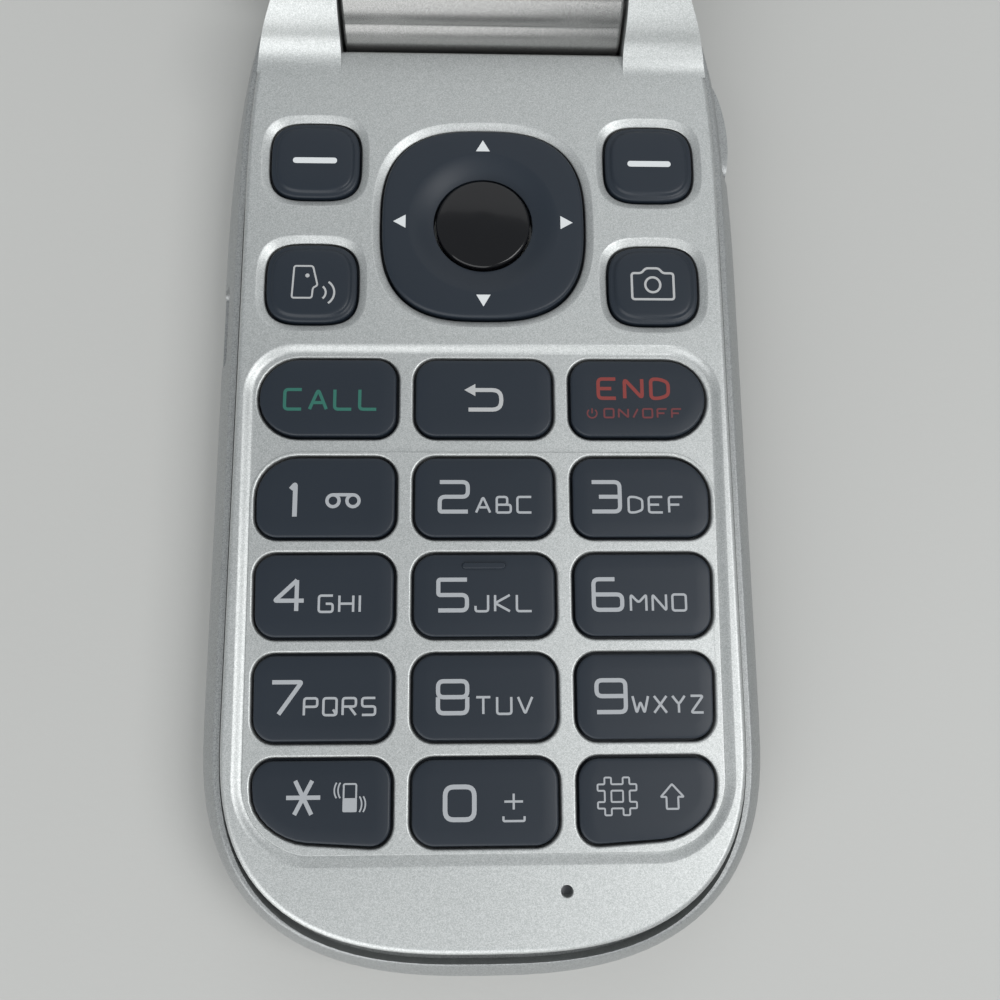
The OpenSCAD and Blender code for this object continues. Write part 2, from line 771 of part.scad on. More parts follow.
module usb_connector() {
    x0 = -port_x;
    color("lightgray") translate([x0, port_y, port_z]) rotate([90, 0, 90]) {
        difference() {
            linear_extrude(port_depth) polygon(rounded(port_w + 2 * port_wall, port_h + 2 * port_wall,
                [1.1, 1.1, 0.4, 0.4]));
            translate([0, 0, -e]) linear_extrude(port_depth - 0.5)
                polygon(rounded(port_w, port_h, [0.9, 0.9, 0.2, 0.2]));
        }
        translate([-port_w / 2 + 1.2, 0.1, 1]) cube([port_w - 2.4, 0.6, port_depth - 1.4]);
    }
}

module volume_rocker() {
    color(slate) at_rocker() {
        translate([0, 0, 0.6]) linear_extrude(rocker_in - 0.6 - rocker_edge)
            polygon(rounded(rocker_l, rocker_h, [1.2, 1.2, 1.2, 1.2]));
        translate([0, 0, rocker_in - rocker_edge - e]) linear_extrude(rocker_edge + e)
            polygon(rounded(rocker_l - 1, rocker_h - 1, [0.9, 0.9, 0.9, 0.9]));
        translate([-1, -1, 0]) cube([2, 2, 0.7]);
    }
}

module volume_switch() {
    color("ivory") block([switch_x, rocker_back_x - switch_gap],
        [rocker_y - switch_l / 2, rocker_y + switch_l / 2], [board_z, switch_top_z]);
}

module base_screws() {
    color([0.3, 0.3, 0.32]) for (p = SCREWS) translate([p[0], p[1], 0]) {
        difference() {
            translate([0, 0, screw_z]) cylinder(r = screw_head_r, h = screw_head_t);
            translate([0, 0, screw_z - e]) cylinder(r = 0.7, h = 0.5, $fn = 6);
        }
        translate([0, 0, screw_z + screw_head_t])
            cylinder(r = screw_r, h = screw_tip_z - screw_z - screw_head_t);
    }
}

// ---- Hinge ----

module hinge_shaft() {
    color([0.7, 0.7, 0.72]) {
        hinge_rod(shaft_r, shaft_end_x, ear_x);
        hinge_key(0.02);
    }
}

module hinge_cam_housing() {
    color([0.6, 0.6, 0.62]) swing_open() difference() {
        hinge_rod(barrel_bore_r, cam_x, barrel_x - 0.1);
        hinge_rod(shaft_r + run_gap, shaft_end_x - 0.5, far);
    }
}

module hinge_bush() {
    color([0.2, 0.2, 0.2]) difference() {
        hinge_rod(barrel_bore_r - run_gap, -ear_x - ear_bore, bush_x);
        hinge_rod(barrel_bore_r - run_gap - bush_t, -far, far);
    }
}

module lid_flex_cable() {
    color([0.75, 0.5, 0.15]) swing_open() {
        difference() {
            hinge_rod(barrel_bore_r - flex_t, flex_x[0], flex_x[1]);
            hinge_rod(barrel_bore_r - 2 * flex_t, -far, far);
        }
        block(flex_x, [flex_end_y, hinge_y - 1.8], [hinge_z + flex_z, hinge_z + flex_z + flex_t]);
        block(flex_x, [flex_end_y, flex_end_y + flex_t], [hinge_z + flex_z, lid_board_z]);
    }
}

// ---- Keys ----

function number_place(k) = [(k % 3 - 1) * key_pitch_x, row_1_y - floor(k / 3) * key_pitch_y, 0];
function call_place(k) = [(k - 1) * key_pitch_x, call_row_y, 0];
function soft_place(k) = [(k % 2 * 2 - 1) * soft_x, k < 2 ? soft_y : voice_y, 0];

// Corner radii of number key k: the pad's own corners are swept
function number_radii(k) = k == 0 ? [key_r, key_r, key_r, sweep_r - 1.2]
    : k == 2 ? [key_r, key_r, sweep_r - 1.2, key_r] : k == 9 ? [sweep_r, key_r, key_r, key_r]
    : k == 11 ? [key_r, sweep_r, key_r, key_r] : [key_r, key_r, key_r, key_r];
function call_radii(k) = let (h = key_h / 2 - 0.05) k == 0 ? [h, key_r, key_r, h]
    : k == 2 ? [key_r, h, h, key_r] : [key_r, key_r, key_r, key_r];

// Outlines of the key holes, let out by g
function shifted(points, d) = [for (p = points) [p[0] + d[0], p[1] + d[1]]];
function number_outline(k, g) = let (c = number_place(k),
    r = rounded(key_w + 2 * g, key_h + 2 * g, [for (r = number_radii(k)) r + g]),
    q = k < 9 ? r : k == 10 ? bowed(r, key_w / 2, key_h, 0.7 * bow)
        : shifted(bowed(shifted(r, [c[0], 0]), key_pitch_x, key_h, bow), [-c[0], 0]))
    shifted(tapered(shifted(q, c), key_taper), -c);
function call_outline(k, g) = rounded(key_w + 2 * g, key_h + 2 * g, [for (r = call_radii(k)) r + g]);
function soft_outline(g) = squircle(soft_w / 2 + g, soft_h / 2 + g, soft_n, 40);
function ring_outline(g) = squircle(ring_w / 2 + g, ring_w / 2 + g, ring_n, 56);

// A key: flange below the deck, body through the hole, stepped top
module key_form(place, flange, body, top, z) {
    intersection() {
        translate(place) prism(flange, flange_z, flange_top_z);
        pocket(flange_side, 0, far);
    }
    translate(place) {
        prism(body, flange_top_z - e, z - key_step);
        prism(top, z - key_step - e, z);
    }
}

module number_key(k) {
    z = pad_z + field_rise + key_stand;
    place = number_place(k);
    color(slate) {
        key_form(place, number_outline(k, flange_out), number_outline(k, -key_gap),
            number_outline(k, -key_gap - key_bevel), z);
        if (k == 4) translate(place + [0, key_h / 2 - 1.1, z - e])
            prism(rounded(3.4, 0.6, [0.28, 0.28, 0.28, 0.28]), 0, 0.15);
    }
}

module call_row_key(k) {
    color(slate) key_form(call_place(k), call_outline(k, flange_out), call_outline(k, -key_gap),
        call_outline(k, -key_gap - key_bevel), pad_z + field_rise + key_stand);
}

module soft_key(k) {
    color(slate) key_form(soft_place(k), soft_outline(flange_out), soft_outline(-key_gap),
        soft_outline(-key_gap - soft_bevel), deck_z + ring_rise);
}

ring_top_z = deck_z + ring_rise;
ring_flange_top_z = deck_under_z - ring_flange_gap;
ring_under_z = ring_flange_top_z - flange_t;
pivot_h = ring_under_z - mat_z;
pivot_gap = 0.02;
pivot_t = 0.14;
pivot_w = 1.2;
pivot_r = ok_d / 2 + pivot_w + 0.1;

module nav_ring() {
    dish_r = ok_d / 2 + 2.6;
    color(slate) translate([0, ring_y, 0]) difference() {
        union() {
            prism(ring_outline(flange_out), ring_under_z, ring_flange_top_z);
            prism(ring_outline(-key_gap), ring_flange_top_z - e, ring_top_z - key_step);
            prism(ring_outline(-key_gap - 0.3), ring_top_z - key_step - e, ring_top_z);
        }
        cylinder(d = ok_d, h = far);
        translate([0, 0, ring_top_z - 0.5]) cylinder(r1 = ok_d / 2, r2 = dish_r, h = 0.5 + e);
    }
}

// Rubber gimbal under the ring: ridges along X below, ridges along Y above
module nav_pivot() {
    r = pivot_h / 2 - pivot_gap;
    z = (mat_z + ring_under_z) / 2;
    color([0.85, 0.86, 0.88]) translate([0, ring_y, z]) difference() {
        union() {
            translate([0, 0, -pivot_t / 2]) cylinder(r = pivot_r, h = pivot_t);
            intersection() {
                rod_x(r, -pivot_r, pivot_r, 0, 0);
                block([-far, far], [-far, far], [-far, 0]);
            }
            intersection() {
                rotate([0, 0, 90]) rod_x(r, -pivot_r, pivot_r, 0, 0);
                block([-far, far], [-far, far], [0, far]);
            }
        }
        translate([0, 0, -far / 2]) cylinder(r = pivot_r - pivot_w, h = far);
    }
}

module ok_key() {
    z = deck_z - 0.1;
    r = ok_d / 2 - ok_gap;
    base_z = mat_z + key_travel + 0.05;
    color([0.06, 0.06, 0.07]) translate([0, ring_y, 0]) {
        translate([0, 0, base_z]) cylinder(r = r, h = z - key_step - base_z);
        translate([0, 0, z - key_step - e]) cylinder(r1 = r, r2 = r - 0.3, h = key_step + e);
    }
}

// ---- Lid (drawn closed) ----

lid_steps = 6;

function lid_plan(s, end_in) = plan(lid_w / 2 - s, lid_end_y - s, belt_n, belt_ease, lid_root_y - end_in);

// Outer form of the lid, g smaller all round
module lid_form(g = 0) {
    loft(concat(
        [for (v = [0, 0.12, 0.4, 0.7]) [mix(lid_z + g, lid_belt_z, v),
            lid_plan(lid_edge_in * pow(1 - v, 1.6) + g, 0.3 + g)]],
        [for (i = [0:lid_steps]) let (t = 90 * i / lid_steps, k = 0.8, s = lid_top_in * (1 - pow(cos(t), k)))
            [lid_belt_z + (lid_top_z - g - lid_belt_z) * pow(sin(t), k),
                lid_plan(s + g, s * 0.5 + 0.3 + g)]]));
}

// What the ears sweep, at both sides of the barrel
module ear_relief() {
    for (s = [-1, 1]) {
        x0 = s > 0 ? barrel_x : -far;
        hinge_rod(ear_r + ear_clear, x0, x0 + far - barrel_x);
        block([x0, x0 + far - barrel_x], [fillet_y(fillet_r) + 0.8, far], [-far, lid_z + 0.8]);
    }
}

// The web between the slab and the barrel: top side
module lid_web(g) {
    y0 = lid_root_y - 5;
    profile_x([[y0, hinge_z], [hinge_y, hinge_z], [hinge_y, hinge_z + barrel_r - g],
        [hinge_y - 2.2, hinge_z + barrel_r + 0.35 - g], [lid_root_y - 1, lid_top_z - 1 - g],
        [y0, lid_top_z - 0.6 - g]], -barrel_x, barrel_x);
}

module lid_outer_housing() {
    color(silver) swing_open() difference() {
        union() {
            difference() {
                lid_form();
                ear_relief();
            }
            lid_web(0);
        }
        block([-far, far], [-far, far], [-far, lid_belt_z + seam]);
        hinge_rod(barrel_r + 0.02, -far, far);
        difference() {
            intersection() {
                lid_form(lid_wall);
                block([-far, far], [-far, lid_root_y - 3], [-far, far]);
            }
            for (p = LID_SCREWS) translate(p) cylinder(r = lid_boss_r, h = far);
        }
        for (p = LID_SCREWS) translate(p) cylinder(r = screw_r, h = lid_screw_tip_z);
        prism(sub_outline(window_gap), lid_top_z - sub_t - 0.15, far);
        prism(sub_outline(-2), 0, far);
        translate([0, lens_y, 0]) cylinder(d = lens_d + 2 * window_gap, h = far);
    }
}

function sub_outline(g) = [for (p = rounded(sub_w + 2 * g, sub_h + 2 * g, [4 + g, 4 + g, 4 + g, 4 + g]))
    [p[0], p[1] + sub_y + sub_h / 2]];
function window_outline(g) = [for (p = rounded(window_w + 2 * g, window_h + 2 * g,
    [2.5 + g, 2.5 + g, 2.5 + g, 2.5 + g])) [p[0], p[1] + window_y + window_h / 2]];

module lid_inner_housing() {
    color([0.66, 0.68, 0.69]) swing_open() difference() {
        union() {
            difference() {
                intersection() {
                    lid_form();
                    block([-far, far], [-far, far], [-far, lid_belt_z]);
                }
                ear_relief();
                // tray for the panel, board and earpiece
                prism(plan(lid_w / 2 - lid_edge_in - lid_wall, lid_end_y - lid_edge_in - lid_wall, belt_n,
                    belt_ease, lid_root_y - 3.4), lid_z + lid_inner_t, far);
            }
            block([-barrel_x, barrel_x], [lid_root_y - 4, hinge_y], [lid_z, lid_belt_z]);
            hinge_rod(barrel_r, -barrel_x, barrel_x);
            for (p = LID_SCREWS) translate([p[0], p[1], lid_z + sink])
                cylinder(r = lid_boss_r, h = lid_belt_z - lid_z - sink);
        }
        block([-far, far], [-far, lid_root_y - 4 + e], [-far, lid_z]);
        hinge_rod(barrel_bore_r, -far, far);
        prism(window_outline(window_gap), 0, far);
        for (p = LID_SCREWS) translate(p) cylinder(r = screw_r + 0.15, h = far);
        for (p = LID_SCREWS) translate(p) cylinder(r = screw_head_r + screw_clear, h = lid_z + lid_screw_t);
        for (p = BUMPERS) translate(p) cylinder(r = bumper_r, h = lid_z + sink);
        prism([for (p = rounded(earpiece_w, 1.3, [0.6, 0.6, 0.6, 0.6])) [p[0], p[1] + earpiece_y]], 0, far);
        // way out of the barrel for the flexible cable
        block([flex_x[0] - flex_gap, flex_x[1] + flex_gap], [lid_root_y - 5, hinge_y - 1.5],
            [hinge_z + flex_z - flex_gap, hinge_z + flex_z + flex_t + flex_gap]);
    }
}

module display_window() {
    color([0.03, 0.03, 0.04]) swing_open() prism(window_outline(0), window_z, window_z + window_t);
}

module display_panel() {
    color([0.1, 0.1, 0.12]) swing_open() block([-window_w / 2 + 1, window_w / 2 - 1],
        [window_y + 2, window_y + window_h - 2], [window_z + window_t, window_z + window_t + panel_t]);
}

module lid_board() {
    color("darkgreen") swing_open() difference() {
        block([lid_board_side - lid_w / 2, lid_w / 2 - lid_board_side],
            [lid_board_end - lid_end_y, lid_root_y - lid_board_root],
            [lid_board_z, lid_board_z + lid_board_t]);
        for (p = LID_SCREWS) translate(p) cylinder(r = lid_boss_r + 0.3, h = far);
    }
}

module sub_display_panel() {
    z = lid_board_z + lid_board_t;
    color([0.1, 0.1, 0.12]) swing_open() block([-sub_w / 2 + 2.2, sub_w / 2 - 2.2],
        [sub_y + 2.2, sub_y + sub_h - 2.2], [z, lid_top_z - sub_t - 0.2]);
}

module sub_display_window() {
    color([0.03, 0.03, 0.04]) swing_open() prism(sub_outline(0), lid_top_z - sub_t - 0.15, lid_top_z - 0.1);
}

module camera_module() {
    z = lid_board_z + lid_board_t;
    color([0.15, 0.15, 0.16]) swing_open() translate([0, lens_y, z]) {
        linear_extrude(1) square(lens_d - 1, center = true);
        translate([0, 0, 1 - e]) cylinder(d = 0.65 * lens_d, h = lid_top_z - 1.15 - z - 1);
    }
}

module camera_window() {
    color([0.05, 0.05, 0.06]) swing_open() translate([0, lens_y, lid_top_z - 1.1])
        cylinder(d = lens_d, h = 1);
}

module earpiece() {
    color("dimgray") swing_open() block([-earpiece_w / 2 - earpiece_rim, earpiece_w / 2 + earpiece_rim],
        [earpiece_y - 3, earpiece_y + 2.2], [lid_z + lid_inner_t, lid_z + lid_inner_t + 2]);
}

module lid_bumpers() {
    color([0.12, 0.12, 0.12]) swing_open() for (p = BUMPERS) translate([p[0], p[1], deck_z + 0.1])
        cylinder(r = bumper_r, h = lid_gap - 0.1 + sink);
}

module lid_screws() {
    z = lid_z + lid_screw_t;
    color([0.3, 0.3, 0.32]) swing_open() for (p = LID_SCREWS) translate([p[0], p[1], z]) {
        translate([0, 0, -screw_head_t + 0.2]) cylinder(r = screw_head_r, h = screw_head_t - 0.2);
        cylinder(r = screw_r, h = lid_screw_tip_z - z);
    }
}

module lid_screw_caps() {
    color([0.2, 0.2, 0.21]) swing_open() for (p = LID_SCREWS) translate([p[0], p[1], lid_z + 0.02])
        cylinder(r = screw_head_r + screw_clear, h = lid_screw_t - screw_head_t + 0.18);
}

module lid_magnet() {
    color([0.6, 0.6, 0.6]) swing_open() translate([magnet_x, magnet_y, lid_z + lid_inner_t])
        cube(magnet);
}

front_housing();
rear_housing();
battery_cover();
battery();
battery_contacts();
main_board();
shield_cans();
dome_sheet();
keypad_mat();
microphone();
loudspeaker();
vibration_motor();
antenna();
sim_holder();
usb_connector();
volume_switch();
base_screws();
hinge_shaft();
hinge_bush();
nav_pivot();
nav_ring();
ok_key();
volume_rocker();
lid_inner_housing();
lid_outer_housing();
hinge_cam_housing();
lid_flex_cable();
display_panel();
display_window();
sub_display_panel();
sub_display_window();
lid_board();
earpiece();
camera_module();
camera_window();
lid_bumpers();
lid_screws();
lid_screw_caps();
lid_magnet();
for (k = [0:3]) soft_key(k);
for (k = [0:2]) call_row_key(k);
for (k = [0:11]) number_key(k);
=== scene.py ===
"""Clamshell mobile phone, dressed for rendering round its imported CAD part.

Every length is in millimetres until a shape becomes a piece, and then in metres, in the CAD's own frame:
+X to the right, +Y towards the hinge, +Z up.
"""
import logging
import math
from collections.abc import Callable, Sequence
from dataclasses import dataclass, field
from enum import Enum

import bmesh
import bpy
from mathutils import Matrix, Vector
from mathutils.bvhtree import BVHTree


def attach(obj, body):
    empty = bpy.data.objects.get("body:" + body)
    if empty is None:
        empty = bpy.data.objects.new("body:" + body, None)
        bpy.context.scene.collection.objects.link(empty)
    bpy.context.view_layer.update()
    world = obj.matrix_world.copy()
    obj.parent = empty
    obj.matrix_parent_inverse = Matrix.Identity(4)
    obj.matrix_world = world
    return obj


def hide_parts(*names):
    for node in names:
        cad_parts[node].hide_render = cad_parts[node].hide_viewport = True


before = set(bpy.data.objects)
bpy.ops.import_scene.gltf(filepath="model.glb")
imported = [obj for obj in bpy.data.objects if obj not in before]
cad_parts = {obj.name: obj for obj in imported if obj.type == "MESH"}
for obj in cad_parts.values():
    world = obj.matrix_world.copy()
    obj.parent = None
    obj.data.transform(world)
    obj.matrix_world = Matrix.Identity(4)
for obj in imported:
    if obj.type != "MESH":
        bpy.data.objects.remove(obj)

Point = tuple[float, float]
Triple = tuple[float, float, float]
Limits = tuple[float, float, float, float]
Outline = list[Point]
Rings = Sequence[tuple[float, Outline]]

MM = 0.001
FAR = 90.0
ALL = (-FAR, FAR)
ALONG_X = Matrix(((0, 0, 1, 0), (1, 0, 0, 0), (0, 1, 0, 0), (0, 0, 0, 1)))
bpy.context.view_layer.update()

logging.basicConfig(level=logging.INFO, format="%(message)s")
LOG = logging.getLogger("phone")


class Slot(Enum):
    """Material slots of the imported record."""

    SILVER = "silver_paint"
    GREY = "grey_paint"
    KEYS = "key_plastic"
    OK = "ok_gloss"
    LABEL = "battery_label"
    CONTACTS = "contacts"
    BOARD = "board"
    SHIELD = "shield"
    DOMES = "dome_film"
    SILICONE = "silicone"
    COMPONENT = "component"
    STEEL = "motor_steel"
    BUSH = "bush_plastic"
    FLEX = "flex"
    DISPLAY = "display"
    WINDOW = "window_gloss"
    RUBBER = "rubber"


class Combine(Enum):
    """Ways to combine two solids."""

    CUT = "DIFFERENCE"
    JOIN = "UNION"
    MEET = "INTERSECT"


# ---- Outlines ----


def mix(a: float, b: float, share: float) -> float:
    """Value a given share of the way from a to b."""
    return a + (b - a) * share


def blend(a: Point, b: Point, share: float) -> Point:
    """Point a given share of the way from a to b."""
    return mix(a[0], b[0], share), mix(a[1], b[1], share)


def signed_power(value: float, exponent: float) -> float:
    """Power of a value's size that keeps the value's sign."""
    return math.copysign(abs(value) ** exponent, value)


def squircle(a: float, b: float, n: float, steps: int = 88) -> Outline:
    """Closed superellipse about the origin.

    Args:
        a: Half width.
        b: Half height.
        n: Exponent, 2 for an ellipse.
        steps: Number of points.

    Returns:
        The outline's points.
    """
    angles = [math.tau * i / steps for i in range(steps)]
    return [(a * signed_power(math.cos(t), 2 / n), b * signed_power(math.sin(t), 2 / n)) for t in angles]


def circle(radius: float, steps: int = 64) -> Outline:
    """Circle about the origin."""
    return squircle(radius, radius, 2, steps)


def small_circle(radius: float) -> Outline:
    """Circle with fewer points, for screws and pads."""
    return circle(radius, 40)


def arc(x: float, y: float, rx: float, ry: float, start: float, end: float, steps: int = 14) -> Outline:
    """Points along an elliptic arc, with its angles in degrees."""
    angles = [math.radians(mix(start, end, i / steps)) for i in range(steps + 1)]
    return [(x + rx * math.cos(t), y + ry * math.sin(t)) for t in angles]


def rounded(w: float, h: float, radii: float | Sequence[float], steps: int = 8,
            grow: float = 0.0) -> Outline:
    """Rounded rectangle about the origin.

    Args:
        w: Width.
        h: Height.
        radii: One radius, or those of the bottom left, bottom right, top right and top left corners.
        steps: Steps in each corner.
        grow: Growth all round.

    Returns:
        The outline's points.
    """
    four = [radii] * 4 if isinstance(radii, (int, float)) else list(radii)
    points: Outline = []
    for corner, radius in enumerate(four):
        x = (w / 2 - radius) * (1 if corner in (1, 2) else -1)
        y = (h / 2 - radius) * (1 if corner > 1 else -1)
        points += arc(x, y, radius + grow, radius + grow, 180 + 90 * corner, 270 + 90 * corner, steps)
    return points


def moved(points: Outline, x: float, y: float) -> Outline:
    """Outline shifted by x and y."""
    return [(px + x, py + y) for px, py in points]


def bowed(points: Outline, half_w: float, h: float, rise: float) -> Outline:
    """Outline whose lower edge lifts towards its sides.

    Args:
        points: The outline, h high about the X axis.
        half_w: Distance from the middle at which the full rise is reached.
        h: Height of the outline.
        rise: Lift at the sides.

    Returns:
        The changed outline.
    """
    return [(x, y + (rise * (x / half_w) ** 2 * -2 * y / h if y < 0 else 0)) for x, y in points]


@dataclass(frozen=True)
class Sizes:
    """Sizes that several sub-assemblies share, as the CAD source has them."""

    base_w: float = 51.0
    chin_y: float = 49.3
    chin_curve: float = 21.9
    shoulder_y: float = 15.0
    shoulder_in: float = 3.4
    corner_r: float = 3.0
    belt_z: float = 5.4
    rim_z: float = 9.2
    deck_z: float = 10.6
    deck_t: float = 1.4
    deck_w: float = 45.8
    deck_chin: float = 46.5
    deck_n: float = 2.8
    skirt_z: float = 7.1
    wall: float = 1.2
    seam: float = 0.1
    hinge_y: float = 43.8
    hinge_z: float = 10.7
    ear_x: float = 14.0
    ear_r: float = 5.9
    barrel_r: float = 5.5
    barrel_x: float = 13.7
    bore_r: float = 3.2
    trough_r: float = 5.95
    end_y: float = 49.7
    open_angle: float = 160.0
    key_w: float = 13.05
    key_h: float = 7.8
    pitch_x: float = 14.4
    pitch_y: float = 8.93
    row_1_y: float = -7.5
    call_y: float = 1.93
    key_r: float = 2.1
    sweep_r: float = 5.2
    key_gap: float = 0.25
    key_taper: float = 0.9
    soft_w: float = 9.0
    soft_h: float = 8.3
    soft_x: float = 16.25
    soft_y: float = 25.9
    voice_y: float = 13.2
    ring_w: float = 19.9
    ring_y: float = 19.45
    ok_d: float = 9.6
    mic: Point = (6.9, -41.5)
    port_y: float = 10.0
    port_z: float = 6.6
    port_x: float = 24.4
    port_depth: float = 5.4
    port_w: float = 7.6
    port_h: float = 2.4
    port_gap: float = 0.2
    field_rim_x: float = 0.35
    field_rim_y: float = 0.65
    belt_n: float = 2.6
    rocker_y: float = 31.0
    rocker_z: float = 7.0
    rocker_l: float = 10.6
    rocker_h: float = 3.0
    rocker_in: float = 2.6
    rocker_back_x: float = 22.534
    rocker_turn: float = 6.18

    def plan(self, half_w: float, chin: float, n: float, ease: float, end: float) -> Outline:
        """Plan outline of the body: superelliptic chin, long sides and drawn-in hinge end.

        Args:
            half_w: Half of the greatest width.
            chin: Reach of the chin.
            n: Exponent of the chin's curve.
            ease: How late the sides draw in.
            end: Reach of the hinge end.

        Returns:
            The outline's points.
        """
        start = self.chin_curve - self.chin_y
        half: Outline = []
        for i in range(27):
            t = math.radians(90 * i / 26)
            half.append((half_w * math.sin(t) ** (2 / n),
                         start - (chin + start) * abs(math.cos(t)) ** (2 / n)))
        for i in range(11):
            u = i / 10
            half.append((half_w - self.shoulder_in * u ** ease,
                         mix(self.shoulder_y, end - self.corner_r, u)))
        for i in range(1, 9):
            t = math.radians(90 * i / 8)
            half.append((half_w - self.shoulder_in - self.corner_r * (1 - math.cos(t)),
                         end - self.corner_r * (1 - math.sin(t))))
        return half + [(-x, y) for x, y in half[:0:-1]]

    def deck_plan(self, grow: float = 0.0, chin_grow: float | None = None, end: float = end_y) -> Outline:
        """Outline of the deck let out by grow, and by chin_grow at the chin."""
        chin = self.deck_chin + (grow if chin_grow is None else chin_grow)
        return self.plan(self.deck_w / 2 + grow, chin, self.deck_n, 4, end)

    def base_plan(self, inset: float, share: float, end_in: float) -> Outline:
        """Outline of the base, from the belt's form to the deck's.

        Args:
            inset: Distance inside the greatest outline.
            share: 0 for the belt's form, 1 for the deck's.
            end_in: Distance by which the hinge end is drawn in.

        Returns:
            The outline's points.
        """
        curve = mix(self.belt_n, self.deck_n, share)
        return self.plan(self.base_w / 2 - inset, self.chin_y - inset, curve, mix(2, 4, share),
                         self.end_y - end_in)

    def tapered(self, points: Outline, draw: float) -> Outline:
        """Outline whose outer parts draw in below the keypad's top, by draw at its lower end.

        Args:
            points: The outline.
            draw: Draw at the keypad's lower end.

        Returns:
            The changed outline.
        """
        top, length = self.row_1_y + self.key_h / 2, 3 * self.pitch_y + self.key_h
        inner = self.pitch_x - self.key_w / 2
        drawn: Outline = []
        for x, y in points:
            shift = draw * max(0, abs(x) - inner) / self.key_w * max(0, top - y) / length
            drawn.append((x - math.copysign(shift, x), y))
        return drawn

    def field(self, top_y: float, radius: float, grow: float) -> Outline:
        """Outline of the keypad's recess or raised field, from its lower edge up to top_y.

        Args:
            top_y: Upper edge.
            radius: Radius of the upper corners.
            grow: Growth all round.

        Returns:
            The outline's points.
        """
        bottom = self.row_1_y - 3 * self.pitch_y - self.key_h / 2 - self.field_rim_y
        half_w = self.pitch_x + self.key_w / 2 + self.field_rim_x
        h, q = top_y - bottom, self.sweep_r + 0.8
        box = rounded(2 * half_w, h, (q, q, radius, radius), 12, grow)
        return self.tapered(moved(bowed(box, half_w, h, 0.7), 0, (top_y + bottom) / 2), self.key_taper / 2)

    def number_key(self, k: int, grow: float) -> Outline:
        """Outline of number key k's hole about its own centre, let out by grow.

        Args:
            k: Number of the key, row by row.
            grow: Growth of the outline.

        Returns:
            The outline's points.
        """
        r, s = self.key_r, self.sweep_r
        swept = {0: (r, r, r, s - 1.2), 2: (r, r, s - 1.2, r), 9: (s, r, r, r), 11: (r, s, r, r)}
        box = rounded(self.key_w, self.key_h, swept.get(k, r), grow=grow)
        x, y = self.number_place(k)
        if k == 10:
            box = bowed(box, self.key_w / 2, self.key_h, 0.35)
        elif k > 8:
            box = moved(bowed(moved(box, x, 0), self.pitch_x, self.key_h, 0.5), -x, 0)
        return moved(self.tapered(moved(box, x, y), self.key_taper), -x, -y)

    def call_key(self, k: int, grow: float) -> Outline:
        """Outline of the hole of key k in the call row, let out by grow.

        Args:
            k: Number of the key, from the left.
            grow: Growth of the outline.

        Returns:
            The outline's points.
        """
        r, h = self.key_r, self.key_h / 2 - 0.05
        radii = ((h, r, r, h), (r,) * 4, (r, h, h, r))[k]
        return rounded(self.key_w, self.key_h, radii, grow=grow)

    def soft_key(self, grow: float) -> Outline:
        """Outline of a soft key's hole, let out by grow."""
        return squircle(self.soft_w / 2 + grow, self.soft_h / 2 + grow, 3.4)

    def ring_key(self, grow: float) -> Outline:
        """Outline of the navigation ring's hole, let out by grow."""
        return squircle(self.ring_w / 2 + grow, self.ring_w / 2 + grow, 2.8, 112)

    def number_place(self, k: int) -> Point:
        """Centre of number key k."""
        return (k % 3 - 1) * self.pitch_x, self.row_1_y - k // 3 * self.pitch_y

    def call_place(self, k: int) -> Point:
        """Centre of key k in the call row."""
        return (k - 1) * self.pitch_x, self.call_y

    def soft_place(self, k: int) -> Point:
        """Centre of soft key k."""
        return (k % 2 * 2 - 1) * self.soft_x, self.soft_y if k < 2 else self.voice_y

    def fillet_start(self, radius: float = 3.0) -> float:
        """Where the hollow fillet below an ear leaves the deck."""
        rise = self.deck_z + radius - self.hinge_z
        return self.hinge_y - math.sqrt((self.ear_r + radius) ** 2 - rise ** 2)


# ---- Solids ----


def next_loop(mesh: bmesh.types.BMesh, loop: list[bmesh.types.BMVert], edges: list[bmesh.types.BMEdge],
              places: Sequence[Sequence[float]]) -> tuple[list[bmesh.types.BMVert], list[bmesh.types.BMEdge]]:
    """Extrudes a chain of edges and puts the new vertices in their places.

    Args:
        mesh: The mesh.
        loop: The chain's vertices in order.
        edges: The chain's edges.
        places: Where the new vertices go, in the same order.

    Returns:
        The new chain's vertices and edges.
    """
    grown = bmesh.ops.extrude_edge_only(mesh, edges=edges)["geom"]
    fresh = {item for item in grown if isinstance(item, bmesh.types.BMVert)}
    after = [next(e.other_vert(v) for e in v.link_edges if e.other_vert(v) in fresh) for v in loop]
    for vert, place in zip(after, places):
        vert.co = place
    pairs = list(zip(after, after[1:] + after[:1]))
    return after, [e for e in (mesh.edges.get(pair) for pair in pairs) if e]


def placed(name: str, data: bpy.types.ID) -> bpy.types.Object:
    """New object in the scene.

    Args:
        name: The object's name.
        data: Its mesh, lamp or camera.

    Returns:
        The object.
    """
    made = bpy.data.objects.new(name, data)
    bpy.context.scene.collection.objects.link(made)
    return made


